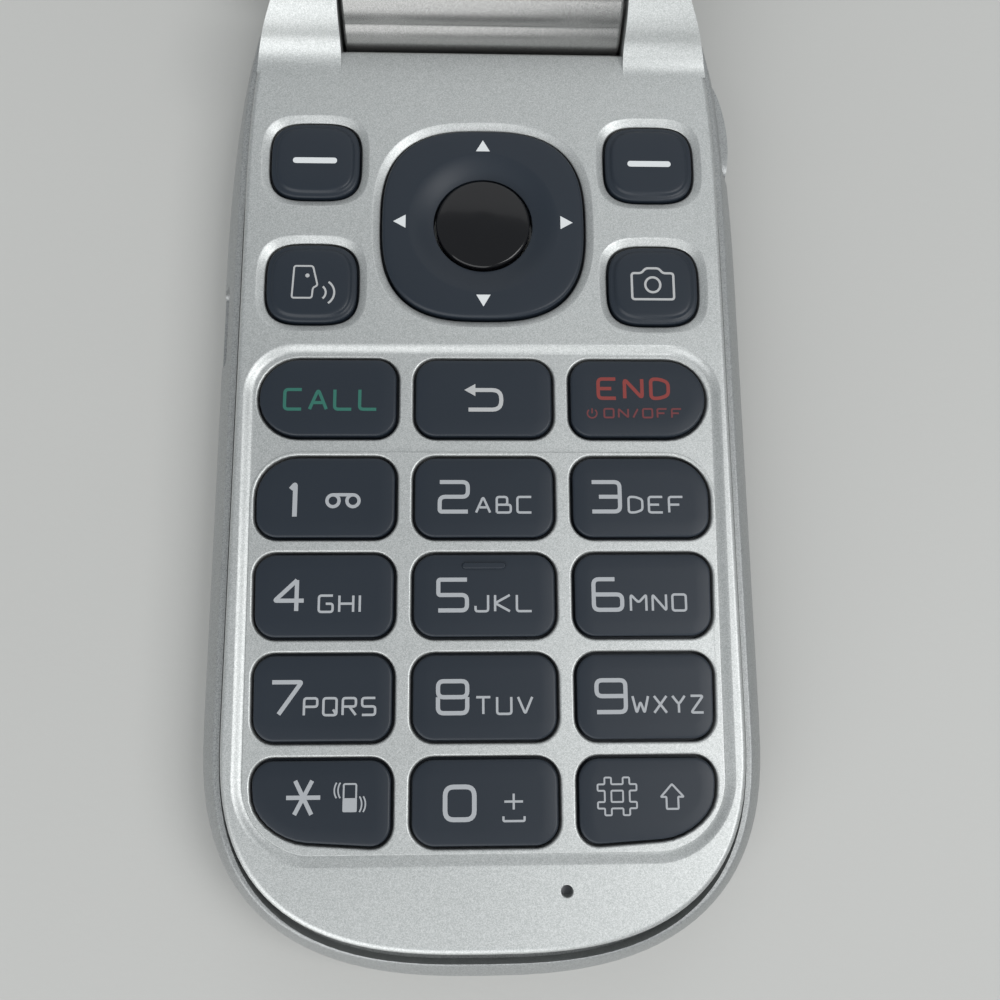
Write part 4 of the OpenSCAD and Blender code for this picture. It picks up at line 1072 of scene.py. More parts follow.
@dataclass
class Shells:
    """Grey rear housing with its battery bay, and the battery cover below it."""

    sizes: Sizes
    cover_z: float = 4.8
    cover_end: float = 35.6
    foot_inset: float = 5.0
    rim_in: float = 1.75
    edge: float = 0.18
    bay_top: float = 5.25
    boss_r: float = 2.3
    head_r: float = 1.7
    screw_r: float = 0.95
    seat_z: float = 5.8
    bay: Triple = (17.3, -38.3, 12.3)
    screws: tuple[Point, ...] = ((13, -41.9), (17.5, 32.8), (-13, -41.9), (-17.5, 32.8))
    speaker: Point = (9.5, 23.5)
    sound_slot: Triple = (0.9, 7.0, 0.44)
    sound_pitch: float = 1.98
    grip: Triple = (14.0, 0.5, 0.24)
    grip_y: float = 29.0
    grip_pitch: float = 1.3

    def form(self, inset: float = 0.0, low: float = 0.0) -> Solid:
        """Outer form of the base from the resting face to the rim, inset smaller all round.

        Args:
            inset: Distance inside the outer form.
            low: Height of the lower face.

        Returns:
            The form.
        """
        s = self.sizes
        rings = []
        for i in range(12, -1, -1):
            t = math.radians(90 * i / 12)
            fall = self.foot_inset * (1 - abs(math.cos(t)) ** 0.8)
            rings.append((s.belt_z - (s.belt_z - low) * math.sin(t) ** 0.8,
                          s.base_plan(fall + inset, 0, fall * 0.6 + inset)))
        for i in range(1, 9):
            v = i / 8
            rings.append((mix(s.belt_z, s.rim_z, v), s.base_plan(self.rim_in * v ** 1.5 + inset, v, inset)))
        return Solid.loft(rings)

    def posts(self, *rings: Point) -> Solid:
        """Round shapes on the screws' axes, through the given heights and radii."""
        return Solid.grown(small_circle, rings, *self.screws)

    def bosses(self) -> Solid:
        """Bosses round the screws."""
        return self.posts((-1, self.boss_r), (7, self.boss_r))

    def rear(self) -> None:
        """Makes the rear housing."""
        s = self.sizes
        half_w, bay_y, bay_end = self.bay
        shell = self.form()
        shell.cut(Solid.block(ALL, (-FAR, self.cover_end), (-FAR, self.cover_z + s.seam)))
        shell.soften(self.edge, 2,
                     lambda e: lies_at(e, 2, self.cover_z + s.seam) or lies_at(e, 2, s.rim_z))
        shell.cut(Solid.prism(s.deck_plan(0.3, 1.0, s.hinge_y - s.trough_r + 0.01), s.skirt_z - s.seam, 30))
        end = s.hinge_y - s.trough_r - s.wall
        before_hinge = Solid.block(ALL, (-FAR, end), (0, 30))
        shell.cut(Solid.prism(s.deck_plan(-s.wall), 7.0, 30).meet(before_hinge))
        at_hinge = Solid.block(ALL, (end - 1, FAR), (0, 30))
        room = Solid.prism(s.deck_plan(-s.wall - 1), 5.75, 30).cut(at_hinge)
        shell.cut(room.cut(self.bosses()))
        inside = s.plan(s.base_w / 2 - 1.8, s.chin_y - 1.8, s.belt_n, 2, end)
        chambers = Solid.prism(inside, -0.01, self.bay_top)
        chambers.cut(Solid.block((-half_w - 0.8, half_w + 0.8), (bay_y - 0.8, bay_end + 0.8), (-1, 90)),
                     self.bosses(), Solid.block(ALL, (self.cover_end, FAR), ALL))
        shell.cut(chambers, Solid.block((-half_w, half_w), (bay_y, bay_end), (-FAR, self.bay_top)))
        shell.cut(Solid.block((-15, 13), (-34.0, 8.0), (5.0, 7.01)))
        shell.cut(self.posts((-1, self.head_r), (self.seat_z, self.head_r), (self.seat_z, self.screw_r),
                             (20, self.screw_r)))
        shell.cut(Solid.rod(s.trough_r, -s.ear_x, s.ear_x, s.hinge_y, s.hinge_z),
                  Solid.block((-s.ear_x, s.ear_x), (s.hinge_y, FAR), (s.hinge_z - s.trough_r, FAR)),
                  Solid.block(ALL, (s.hinge_y - 0.01, FAR), (s.skirt_z - s.seam, FAR)),
                  Solid.prism(s.deck_plan(0.1, 0.1, s.end_y + 0.1), s.skirt_z - s.seam, 30))
        shell.cut(*side_tools(s), Solid.block((-12, -3), (bay_end - 0.01, bay_end + 0.81), (0, self.bay_top)))
        shell.piece("rear_shell", "base", Slot.GREY, [GREY], ["rear_housing"])

    def cover(self) -> None:
        """Makes the battery cover, with sound slots and a grip."""
        s = self.sizes
        room = Solid.block(ALL, (-FAR, self.cover_end - s.seam), (-FAR, self.cover_z))
        shell = self.form().meet(room)
        shell.soften(self.edge, 2,
                     lambda e: lies_at(e, 2, self.cover_z) or lies_at(e, 1, self.cover_end - s.seam))
        inside = s.plan(s.base_w / 2 - s.wall, s.chin_y - s.wall, s.belt_n, 2, s.end_y)
        shell.cut(self.form(s.wall, s.wall).meet(Solid.block(ALL, ALL, (s.wall, FAR))),
                  Solid.prism(inside, s.belt_z - 1.6, 30))
        x, y = self.speaker
        row = range(-2, 3)
        flare = ((-0.5, 0.2), (0, 0.2), (0.2, 0), (2, 0))
        shell.cut(Solid.grown(lambda g: rounded(*self.sound_slot, 6, g), flare,
                              *((x + self.sound_pitch * i, y) for i in row)))
        flare = ((-0.5, 0.15), (0, 0.15), (0.3, 0))
        w, h, r = self.grip
        grips = [Solid.grown(lambda g, i=i: rounded(w - abs(i), h, r, 4, g), flare,
                             (0, self.grip_y + self.grip_pitch * i)) for i in row]
        shell.cut(Solid().add(*grips))
        shell.piece("battery_cover_shell", "cover", Slot.GREY, [GREY], ["battery_cover"])

    def build(self) -> None:
        """Makes both shells."""
        self.rear()
        self.cover()


@dataclass
class SideParts:
    """Rocker on the right side and connector on the left."""

    sizes: Sizes

    def build(self) -> None:
        """Makes the rocker and the connector's shell."""
        self.rocker()
        self.connector()

    def rocker(self) -> None:
        """Makes the rocker, whose arched face is flush with the side at both ends."""
        s = self.sizes
        half, face, arch = s.rocker_l / 2, s.rocker_in - 0.48, 0.75
        radius = (half * half + arch * arch) / (2 * arch)
        sweep = math.degrees(math.asin(half / radius))
        bow = arc(face - radius, 0, radius, radius, -sweep, sweep, 24)
        body = Solid.bar(squircle(half, s.rocker_h / 2, 5, 64), 0.9, face + 1)
        body.meet(Solid.prism([(0.3, -half)] + bow + [(0.3, half)], -3, 3))
        body.soften(0.45, 4, lambda e: min(v.co.x for v in e.verts) > face - arch - 0.1
                    and e.calc_face_angle(0) > 0.7)
        body.join(Solid.block((0, 0.95), (-0.8, 0.8), (-1, 1)))
        at_rocker(body, s).piece("volume_key", "volume_rocker", Slot.KEYS, [GREY], ["volume_rocker"])

    def connector(self) -> None:
        """Makes the connector's shell with its tongue."""
        s = self.sizes
        x0, x1 = -s.port_x, -s.port_x + s.port_depth
        corners = (1.1, 1.1, 0.4, 0.4)
        body = rounded(s.port_w, s.port_h, corners)
        shell = Solid.along_x([(x0, rounded(s.port_w - 0.1, s.port_h - 0.1, corners)), (x0 + 0.1, body),
                               (x1, body)])
        shell.cut(Solid.bar(rounded(7, 1.8, (0.9, 0.9, 0.2, 0.2)), x0 - 1, x1 - 0.5))
        shell.join(Solid.block((x0 + 1, x1 - 0.4), (-2.3, 2.3), (0.1, 0.7)))
        shell.shift(0, s.port_y, s.port_z)
        shell.piece("connector_shell", "base", Slot.SHIELD, [CARRIED["sim_holder"][1]], ["usb_connector"])


# ---- Prints ----

# Strokes of the print letters on a grid 4 wide and 6 high: each point is a column and a row, ! a tight bend
GLYPHS: dict[str, str] = {
    "0": "00-40-46-06-00", "1": "05-46-40", "2": "06-46-43-03-00!-40", "3": "06-46-40-00 13-43",
    "4": "36-02!-42 36-30", "5": "46-06!-03!-43-40-00", "6": "36-06-00-40-43-03", "7": "06-46!-10",
    "8": "03-43-46-06-03 03-00-40-43", "9": "00-40-46-06-03-43", "*": "03-43 10-36 16-30",
    "A": "00-26-40 12-32", "B": "00-06-36-33-03 23-43-40-00", "C": "46-06-00-40",
    "D": "00-06-26-45-41-20-00", "E": "46-06-00-40 03-33", "F": "46-06-00 03-33", "G": "46-06-00-40-43-23",
    "H": "00-06 40-46 03-43", "I": "00-06", "J": "46-40-00-02", "K": "00-06 46-03-40", "L": "06-00-40",
    "M": "00-06-23-46-40", "N": "00-06-40-46", "O": "00-40-46-06-00", "P": "00-06-46-43-03",
    "Q": "00-40-46-06-00 32-40", "R": "00-06-46-43-03 23-40", "S": "46-06-03-43-40-00", "T": "06-46 26-20",
    "U": "06-00-40-46", "V": "06-20-46", "W": "06-10-24-30-46", "X": "00-46 06-40", "Y": "06-23-46 23-20",
    "Z": "06-46-00-40", "/": "00-46", "+": "03-43 20-26", "_": "05-00-40-45",
}
GLYPH_WIDTHS: dict[str, float] = {"I": 0.08, "J": 0.85, "M": 1.15, "W": 1.25, "/": 0.5}


@dataclass(frozen=True)
class Mark:
    """Printed line, or a filled patch where it has no width."""

    points: Outline
    width: float = 0.0
    bend: float = 0.2
    closed: bool = False
    tight: tuple[int, ...] = ()

    def rounded_line(self) -> Outline:
        """The line with its bends rounded and its long stretches divided.

        Returns:
            The line's points.
        """
        points, count = self.points, len(self.points)
        line: Outline = []
        for i, (x, y) in enumerate(points):
            if not self.closed and i in (0, count - 1):
                line.append((x, y))
                continue
            ends = []
            for px, py in (points[i - 1], points[(i + 1) % count]):
                length = math.dist((x, y), (px, py))
                bend = 0.55 * self.width if i in self.tight else self.bend
                reach = min(bend, 0.45 * length) / length
                ends.append(blend((x, y), (px, py), reach))
            for step in range(6):
                t = step / 5
                line.append(blend(blend(ends[0], (x, y), t), blend((x, y), ends[1], t), t))
        divided: Outline = []
        for a, b in zip(line, line[1:] + line[:1] if self.closed else line[1:]):
            steps = max(1, math.ceil(math.dist(a, b) / 0.7))
            divided += [blend(a, b, k / steps) for k in range(steps)]
        return divided if self.closed else divided + [line[-1]]

    def edges(self) -> list[tuple[Point, Point]]:
        """Pairs of points on the line's two edges, mitred at the bends.

        Returns:
            Left and right point of each pair.
        """
        line, pairs = self.rounded_line(), []
        for i, (x, y) in enumerate(line):
            before = Vector(line[i - 1]) if self.closed or i else None
            after = Vector(line[(i + 1) % len(line)]) if self.closed or i < len(line) - 1 else None
            here = Vector((x, y))
            joints = ((before, here), (here, after))
            ways = [(b - a).normalized() for a, b in joints if a is not None and b is not None]
            way = sum(ways, Vector((0, 0))).normalized()
            side = Vector((-way.y, way.x)) * self.width / 2 / max(0.5, way.dot(ways[0]))
            pairs.append((tuple(here + side), tuple(here - side)))
        return pairs


def written(text: str, box: Limits, width: float, bend: float = 0.2) -> list[Mark]:
    """Strokes of a word that fills a box.

    Args:
        text: The word.
        box: Left, right, lower and upper limit.
        width: Width of the strokes.
        bend: Rounding of the strokes' bends.

    Returns:
        The marks.
    """
    x0, x1, y0, y1 = box[0] + width / 2, box[1] - width / 2, box[2] + width / 2, box[3] - width / 2
    widths = [GLYPH_WIDTHS.get(letter, 1.0) for letter in text]
    gap = 0.3 + 1.2 * width / (y1 - y0)
    unit = (x1 - x0) / (sum(widths) + gap * (len(text) - 1))
    marks, x = [], x0
    for letter, share in zip(text, widths):
        for stroke in GLYPHS[letter].split():
            grid = stroke.split("-")
            points = [(x + int(p[0]) / 4 * unit * share, mix(y0, y1, int(p[1]) / 6)) for p in grid]
            closed = points[0] == points[-1]
            tight = tuple(i for i, p in enumerate(grid) if p.endswith("!"))
            marks.append(Mark(points[:-1] if closed else points, width, bend, closed, tight))
        x += unit * (share + gap)
    return marks


def outlined_hash(box: Limits, width: float) -> list[Mark]:
    """Hash sign drawn as the outline of its four bars.

    Args:
        box: Left, right, lower and upper limit.
        width: Width of the strokes.

    Returns:
        The marks.
    """
    x0, x1, y0, y1 = box
    steps = (0.0, 0.18, 0.35, 0.65, 0.82, 1.0)
    rim = "10-20-21-31-30-40-41-51-52-42-43-53-54-44-45-35-34-24-25-15-14-04-03-13-12-02-01-11"
    marks = []
    for loop in (rim, "22-32-33-23"):
        points = [(mix(x0, x1, steps[int(p[0])]), mix(y0, y1, steps[int(p[1])])) for p in loop.split("-")]
        marks.append(Mark(points, width, 0.12, True))
    return marks


def reels() -> list[Mark]:
    """Message sign: two reels with a bar across their tops."""
    rings = [Mark(arc(x, -0.34, 0.55, 0.55, 0, 337.5, 15), 0.3, 0.05, True) for x in (0.73, 2.53)]
    return rings + [Mark([(0.73, 0.21), (2.53, 0.21)], 0.3)]


def return_arrow() -> list[Mark]:
    """Arrow that turns back to the left."""
    return [Mark([(-1.81, 0.72), (-0.78, 0.13), (-0.78, 1.31)]),
            Mark([(-0.9, 0.72), (1.62, 0.72), (1.62, -1.17), (-1.42, -1.17)], 0.38, 0.85)]


def talking_face() -> list[Mark]:
    """Face from the side with two sound waves.

    Returns:
        The marks.
    """
    face = [(-1.78, -1.62), (-1.62, 1.58), (0.14, 1.58), (0.62, -0.38), (0.18, -0.6), (0.1, -1.62)]
    waves = (arc(0.55, -1.08, 0.85, 0.8, -48, 48), arc(0.75, -1.08, 1.45, 1.35, -52, 52))
    eye = Mark(arc(-0.36, 0.62, 0.2, 0.2, 0, 337.5, 15))
    return [Mark(face, 0.17, 0.22, True), eye] + [Mark(wave, 0.19, 0.05) for wave in waves]


def camera_sign() -> list[Mark]:
    """Camera with its lens.

    Returns:
        The marks.
    """
    body = [(-2.1, -1.55), (-2.1, 1.1), (-1.15, 1.1), (-0.75, 1.6), (0.52, 1.6), (0.9, 1.1), (1.9, 1.1),
            (1.9, -1.55)]
    return [Mark(body, 0.22, 0.28, True), Mark(arc(-0.1, -0.08, 0.72, 0.76, 0, 348, 29), 0.22, 0.05, True)]


def shaking_phone() -> list[Mark]:
    """Small phone with waves at both sides.

    Returns:
        The marks.
    """
    waves = [Mark(arc(x, y, 0.75, 0.95, a - 42, a + 42), 0.13, 0.05)
             for x, y, a in ((2.25, 1.2, 180), (2.57, 1.2, 180), (3.1, 0.05, 0), (3.42, 0.05, 0))]
    return waves + [Mark([(2.3, 0.45), (2.3, 1.72), (3.37, 1.72), (3.37, 0.45)], 0.15, 0.15, True),
                    Mark(moved(rounded(1.22, 1.15, 0.12, 4), 2.835, -0.02))]


def shift_arrow() -> list[Mark]:
    """Outlined arrow that points up."""
    arrow = [(1.73, 1.46), (0.74, 0.4), (1.22, 0.4), (1.22, -0.6), (2.24, -0.6), (2.24, 0.4), (2.72, 0.4)]
    return [Mark(arrow, 0.17, 0.1, True)]


def power_sign(x: float, y: float, r: float) -> list[Mark]:
    """Open ring with a short bar at its top."""
    return [Mark(arc(x, y, r, r, 130, 410, 20), 0.14, 0.05), Mark([(x, y), (x, y + 1.1 * r)], 0.14)]


def pointer(way: int) -> list[Mark]:
    """Small filled triangle near the ring's rim, which points the given quarter turns from the right.

    Args:
        way: Quarter turns from the right.

    Returns:
        The mark.
    """
    turn = math.radians(90 * way)
    tip, base, half = (8.62, 7.44, 0.68)
    corners = ((tip, 0.0), (base, half), (base, -half))
    return [Mark([(x * math.cos(turn) - y * math.sin(turn), x * math.sin(turn) + y * math.cos(turn))
                  for x, y in corners])]


@dataclass
class Printer:
    """Prints marks on a key's top as thin raised ink."""

    lift: float = 0.014
    step: float = 0.0015

    @staticmethod
    def vertex(ink: bmesh.types.BMesh, tree: BVHTree, point: Point,
               lift: float) -> bmesh.types.BMVert:
        """New vertex of the ink, lift above the face that lies below a point.

        Args:
            ink: The ink's mesh.
            tree: The key's faces.
            point: The point, seen from above.
            lift: Height above the face.

        Returns:
            The vertex.
        """
        hit = tree.ray_cast(Vector((*point, 40)), Vector((0, 0, -1)))[0]
        return ink.verts.new((*point, (hit.z if hit else Sizes.deck_z) + lift))

    def apply(self, cap: Solid, marks: Sequence[Mark], index: int, place: Point) -> None:
        """Adds marks to a key.

        Args:
            cap: The key, in its place.
            marks: The marks about the key's centre.
            index: Material index of the ink.
            place: The key's centre.
        """
        tree = BVHTree.FromBMesh(cap.mesh)
        ink = bmesh.new()
        for order, mark in enumerate(marks):
            rows = mark.edges() if mark.width else [tuple(mark.points)]
            base = self.lift + 2 * self.step * order
            lines = [[self.vertex(ink, tree, moved([point], *place)[0], base + self.step * i / len(rows))
                      for point in row] for i, row in enumerate(rows)]
            if mark.width:
                joints = list(zip(lines, lines[1:] + lines[:1] if mark.closed else lines[1:]))
                faces = [ink.faces.new((a[0], a[1], b[1], b[0])) for a, b in joints]
            else:
                faces = [ink.faces.new(lines[0])]
            bmesh.ops.recalc_face_normals(ink, faces=faces)
            if faces[0].normal.z < 0:
                bmesh.ops.reverse_faces(ink, faces=faces)
            grown = bmesh.ops.extrude_face_region(ink, geom=faces, use_keep_orig=True)["geom"]
            sunk = [item for item in grown if isinstance(item, bmesh.types.BMVert)]
            bmesh.ops.translate(ink, vec=(0, 0, -2 * self.lift - base), verts=sunk)
            turned = [item for item in grown if isinstance(item, bmesh.types.BMFace)]
            bmesh.ops.reverse_faces(ink, faces=turned)
        bmesh.ops.recalc_face_normals(ink, faces=ink.faces[:])
        for face in ink.faces:
            face.material_index = index
        layer = Solid()
        layer.mesh.free()
        layer.mesh = ink
        cap.add(layer)


# ---- Keys ----


@dataclass
class Keypad:
    """All the keys of the base with their legends."""

    sizes: Sizes
    top: float = 10.55
    soft_top: float = 10.75
    flange_z: float = 8.85
    flange_t: float = 0.3
    ring_z: float = 8.45
    ok_z: float = 8.35
    dish: float = 0.7
    words: dict[str, tuple[float, str, float, float]] = field(default_factory=lambda: {
        "2": (-4.22, "ABC", -0.84, 4.39), "3": (-4.75, "DEF", -1.33, 3.84), "4": (-4.35, "GHI", -0.38, 3.54),
        "5": (-4.3, "JKL", -0.91, 4.3), "6": (-4.82, "MNO", -1.42, 3.75), "7": (-4.3, "PQRS", -1.4, 4.96),
        "8": (-4.28, "TUV", -0.87, 4.24), "9": (-4.78, "WXYZ", -1.55, 4.9)})

    def cap(self, outline: Callable[[float], Outline], place: Point, rim: Sequence[Point], top: float,
            dome: float = 0.07, reach: float = 1.9) -> Solid:
        """A key's flange, body and pillowed top.

        Args:
            outline: The hole's outline for a growth.
            place: Centre of the key.
            rim: Heights below the top, with growths, from the body up to the top's edge.
            top: Height of the top's edge.
            dome: Rise of the middle above the edge.
            reach: How far inside the edge the pillow goes on rising.

        Returns:
            The key.
        """
        low, edge = self.flange_z, rim[-1][1]
        high = low + self.flange_t
        profile = [(low, 0.1), (high, 0.1), (high, -self.sizes.key_gap)]
        profile += [(top + z, g) for z, g in rim]
        for v in (0.12, 0.3, 0.55, 0.85):
            profile.append((top + dome * (1 - (1 - v) ** 2), edge - (reach + edge) * v))
        return Solid.grown(outline, profile).shift(*place, 0)

    def build(self) -> None:
        """Makes every key."""
        s = self.sizes
        rim = ((-0.2, -0.25), (-0.15, -0.255), (-0.09, -0.28), (-0.045, -0.33), (-0.012, -0.4), (0.0, -0.5))
        names = ["1", "2", "3", "4", "5", "6", "7", "8", "9", "star", "0", "hash"]
        for k, name in enumerate(names):
            cap = self.cap(lambda g, k=k: s.number_key(k, g), s.number_place(k), rim, self.top)
            if name == "5":
                cap.join(self.ridge().shift(*s.number_place(k), 0))
            self.finish(cap, f"key_{name}", s.number_place(k), (LEGEND, self.number_marks(name)))
        for k, name in enumerate(("call_key", "back_key", "end_key")):
            cap = self.cap(lambda g, k=k: s.call_key(k, g), s.call_place(k), rim, self.top)
            self.finish(cap, name, s.call_place(k), *self.call_marks(k))
        step = ((-0.5, -0.25), (-0.38, -0.27), (-0.3, -0.35), (-0.26, -0.5), (-0.24, -0.68), (-0.16, -0.76),
                (-0.08, -0.82), (-0.02, -0.93), (0.0, -1.1))
        for k, name in enumerate(("soft_left_key", "soft_right_key", "voice_key", "camera_key")):
            cap = self.cap(s.soft_key, s.soft_place(k), step, self.soft_top, 0.05, 2.6)
            self.finish(cap, name, s.soft_place(k), (WHITE if k < 2 else PALE, self.soft_marks(k)))
        self.ring()
        self.ok()

    def ridge(self) -> Solid:
        """Raised bar that a finger feels on the middle key.

        Returns:
            The bar.
        """
        rim = ((-0.2, 0.0), (0.16, 0.0), (0.24, -0.04), (0.29, -0.13))
        return Solid.grown(lambda g: moved(rounded(3.9, 0.6, 0.29, grow=g), -0.05, 2.65),
                           [(self.top + z, g) for z, g in rim])

    def number_marks(self, name: str) -> list[Mark]:
        """Legend of a number key: its digit and its letters or signs.

        Args:
            name: The key's name.

        Returns:
            The marks.
        """
        if name == "hash":
            return outlined_hash((-4.72, -1.35, -1.08, 2.05), 0.15) + shift_arrow()
        if name == "star":
            return written("*", (-2.75, 0.5, -0.95, 2.2), 0.36, 0.0) + shaking_phone()
        if name == "1":
            return written("1", (-3.31, -2.48, -2.0, 1.43), 0.42, 0.24) + reels()
        if name == "0":
            return (written("0", (-3.64, -0.74, -1.51, 1.59), 0.4, 0.75)
                    + written("+", (1.54, 3.33, -0.61, 0.89), 0.19)
                    + written("_", (1.45, 3.45, -1.56, -0.9), 0.19, 0.13))
        left, letters, x0, x1 = self.words[name]
        marks = written(name, (left, left + 2.92, -1.53, 1.58), 0.37, 0.5)
        marks += written(letters, (x0, x1, -1.54, 0.11), 0.21, 0.24)
        return marks

    @staticmethod
    def call_marks(k: int) -> list[tuple[Finish, list[Mark]]]:
        """Legends of key k in the call row, each with its ink.

        Args:
            k: Number of the key, from the left.

        Returns:
            Inks with their marks.
        """
        if k == 0:
            return [(GREEN, written("CALL", (-4.1, 4.63, -1.32, 0.86), 0.3, 0.35))]
        if k == 1:
            return [(PALE, return_arrow())]
        line = power_sign(-4.35, -1.5, 0.44) + written("ON/OFF", (-3.3, 4.05, -1.98, -0.98), 0.17, 0.15)
        return [(RED, written("END", (-3.89, 3.01, -0.2, 2.0), 0.33, 0.4)), (DULL_RED, line)]

    @staticmethod
    def soft_marks(k: int) -> list[Mark]:
        """Legend of soft key k.

        Args:
            k: Number of the key.

        Returns:
            The marks.
        """
        if k < 2:
            return [Mark(moved(rounded(4.25, 0.6, 0.29, 5), 0, -0.17))]
        return talking_face() if k == 2 else camera_sign()

    @staticmethod
    def finish(cap: Solid, name: str, place: Point, *legends: tuple[Finish, list[Mark]]) -> None:
        """Prints a key's legends and makes it a piece.

        Args:
            cap: The key.
            name: The piece's name, and its body's.
            place: The key's centre.
            legends: Inks with their marks.
        """
        for index, (_, marks) in enumerate(legends):
            Printer().apply(cap, marks, index + 1, place)
        cap.piece(f"{name}_cap", name, Slot.KEYS, [SLATE] + [ink for ink, _ in legends], [name], 40)

    def ring(self) -> None:
        """Makes the navigation ring."""
        s, top = self.sizes, self.soft_top
        low, gap = self.ring_z, s.key_gap
        high = low + self.flange_t
        profile = [(low, 0.4), (high, 0.4), (high, -gap)] + rounding(top, -gap, 0.35, 6)
        ring = Solid.grown(s.ring_key, profile + [(top + 0.03, -1.2), (top + 0.04, -2.5)])
        hole = [(0.0, 0.0), (top - self.dish, 0.0)]
        for i in range(1, 11):
            v = i / 10
            rise = (self.dish + 0.06) * math.sin(v * math.pi / 2) ** 1.3
            hole.append((top - self.dish + rise, 2.9 * v))
        hole.append((top + 3, 2.9))
        ring.shift(0, s.ring_y, 0)
        ring.cut(Solid.grown(lambda g: circle(s.ok_d / 2 + g, 96), hole).shift(0, s.ring_y, 0))
        for way in range(4):
            Printer().apply(ring, pointer(way), 1, (0, s.ring_y))
        ring.piece("ring_cap", "nav_ring", Slot.KEYS, [SLATE, WHITE], ["nav_ring"], 40)

    def ok(self) -> None:
        """Makes the domed middle button."""
        s = self.sizes
        r, top = s.ok_d / 2 - s.key_gap, s.deck_z - 0.1
        profile = [(self.ok_z, r)] + rounding(top - 0.05, r, 0.3, 6)
        for v in (0.15, 0.35, 0.6, 0.85):
            profile.append((top - 0.05 + 0.18 * (1 - (1 - v) ** 2), (r - 0.3) * (1 - v)))
        button = Solid.grown(circle, profile).shift(0, s.ring_y, 0)
        button.piece("ok_cap", "ok_key", Slot.OK, [BLACK], ["ok_key"], 40)


# ---- Lid ----


@dataclass
class Lid:
    """Display lid, drawn closed and swung open: housings, barrel, windows and small parts."""

    sizes: Sizes
    low: float = 11.15
    belt: float = 13.75
    top: float = 18.75
    edge_in: float = 2.4
    top_in: float = 6.0
    half_w: float = 25.3
    end_y: float = 49.0
    root_y: float = 39.3
    wall: float = 1.1
    crease: float = 0.45
    boss_r: float = 2.2
    thread_r: float = 0.8
    thread_top: float = 16.15
    screw_r: float = 0.95
    head_r: float = 1.7
    lens_y: float = 28.0
    sub_glass: Triple = (29.0, 33.0, 4.0)
    sub_y: float = 2.5
    main_glass: Triple = (41.0, 55.0, 2.5)
    main_y: float = -8.0
    sound_slot: Triple = (9.0, 1.3, 0.6)
    sound_y: float = -40.6
    screws: tuple[Point, ...] = ((16.5, -39.2), (17.5, 30), (-16.5, -39.2), (-17.5, 30))
    bumpers: tuple[Point, ...] = ((-15.5, -43.5), (15.5, -43.5))

    def outline(self, inset: float, end_in: float) -> Outline:
        """Outline of the lid drawn in by inset, and by end_in at the root."""
        s = self.sizes
        return s.plan(self.half_w - inset, self.end_y - inset, s.belt_n, 2, self.root_y - end_in)

    def form(self, inset: float = 0.0) -> Solid:
        """Outer form of the lid, inset smaller all round.

        Args:
            inset: Distance inside the outer form.

        Returns:
            The form.
        """
        rings = []
        for v in (0, 0.06, 0.12, 0.25, 0.4, 0.55, 0.7, 0.85):
            rings.append((mix(self.low + inset, self.belt, v),
                          self.outline(self.edge_in * (1 - v) ** 1.6 + inset, 0.3 + inset)))
        for i in range(13):
            t = math.radians(90 * i / 12)
            fall = self.top_in * (1 - abs(math.cos(t)) ** 0.8)
            rings.append((self.belt + (self.top - inset - self.belt) * math.sin(t) ** 0.8,
                          self.outline(fall + inset, fall * 0.5 + 0.3 + inset)))
        return Solid.loft(rings)

    def relief(self, shape: Solid) -> Solid:
        """Takes away what the ears sweep at both sides of the barrel.

        Args:
            shape: The housing.

        Returns:
            The housing.
        """
        s = self.sizes
        for x0, x1 in ((s.barrel_x, FAR), (-FAR, -s.barrel_x)):
            shape.cut(Solid.rod(s.ear_r + 0.6, x0, x1, s.hinge_y, s.hinge_z),
                      Solid.block((x0, x1), (s.fillet_start() + 0.8, FAR), (-FAR, self.low + 0.8)))
        return shape

    def web(self) -> Solid:
        """Web between the slab and the barrel.

        Returns:
            The web.
        """
        s = self.sizes
        y0 = self.root_y - 5
        return Solid.bar([(y0, s.hinge_z), (s.hinge_y, s.hinge_z), (s.hinge_y, s.hinge_z + s.barrel_r),
                          (s.hinge_y - 2.2, s.hinge_z + s.barrel_r + 0.35), (self.root_y - 1, self.top - 1),
                          (y0, self.top - 0.6)], -s.barrel_x, s.barrel_x)

    def sub_window(self, grow: float) -> Outline:
        """Outline of the outer display's window, let out by grow."""
        return moved(rounded(*self.sub_glass, grow=grow), 0, self.sub_y)

    def main_window(self, grow: float) -> Outline:
        """Outline of the display window, let out by grow."""
        return moved(rounded(*self.main_glass, grow=grow), 0, self.main_y)

    def screw_tool(self, radius: float, z0: float, z1: float) -> Solid:
        """Cylinders on the lid's screws."""
        return Solid.grown(small_circle, ((z0, radius), (z1, radius)), *self.screws)

    def outer(self) -> None:
        """Makes the outer housing."""
        s = self.sizes
        shell = self.relief(self.form()).join(self.web())
        shell.cut(Solid.block(ALL, ALL, (-FAR, self.belt + s.seam)),
                  Solid.rod(s.barrel_r + 0.02, -40, 40, s.hinge_y, s.hinge_z))
        shell.soften(0.15, 2, lambda e: lies_at(e, 2, self.belt + s.seam) and e.calc_face_angle(0) > 0.6)
        hollow = self.form(self.wall).meet(Solid.block(ALL, (-FAR, self.root_y - 3), ALL))
        hollow.cut(self.screw_tool(self.boss_r, 0, 30))
        shell.cut(hollow, self.screw_tool(self.thread_r, 0, self.thread_top))
        low, high = self.top - 0.2, self.top + 0.1
        window = ((self.top - 1.15, 0.15), (low, 0.15), (high, 0.4), (self.top + 2, 0.4))
        lens = ((10, 4.15), (low, 4.15), (high, 4.4), (30, 4.4))
        shell.cut(Solid.grown(self.sub_window, window), Solid.prism(self.sub_window(-2), 10, 30),
                  Solid.grown(circle, lens, (0, self.lens_y)))
        shell.swing_open(s).piece("lid_back", "lid", Slot.SILVER, [SILVER], ["lid_outer_housing"])

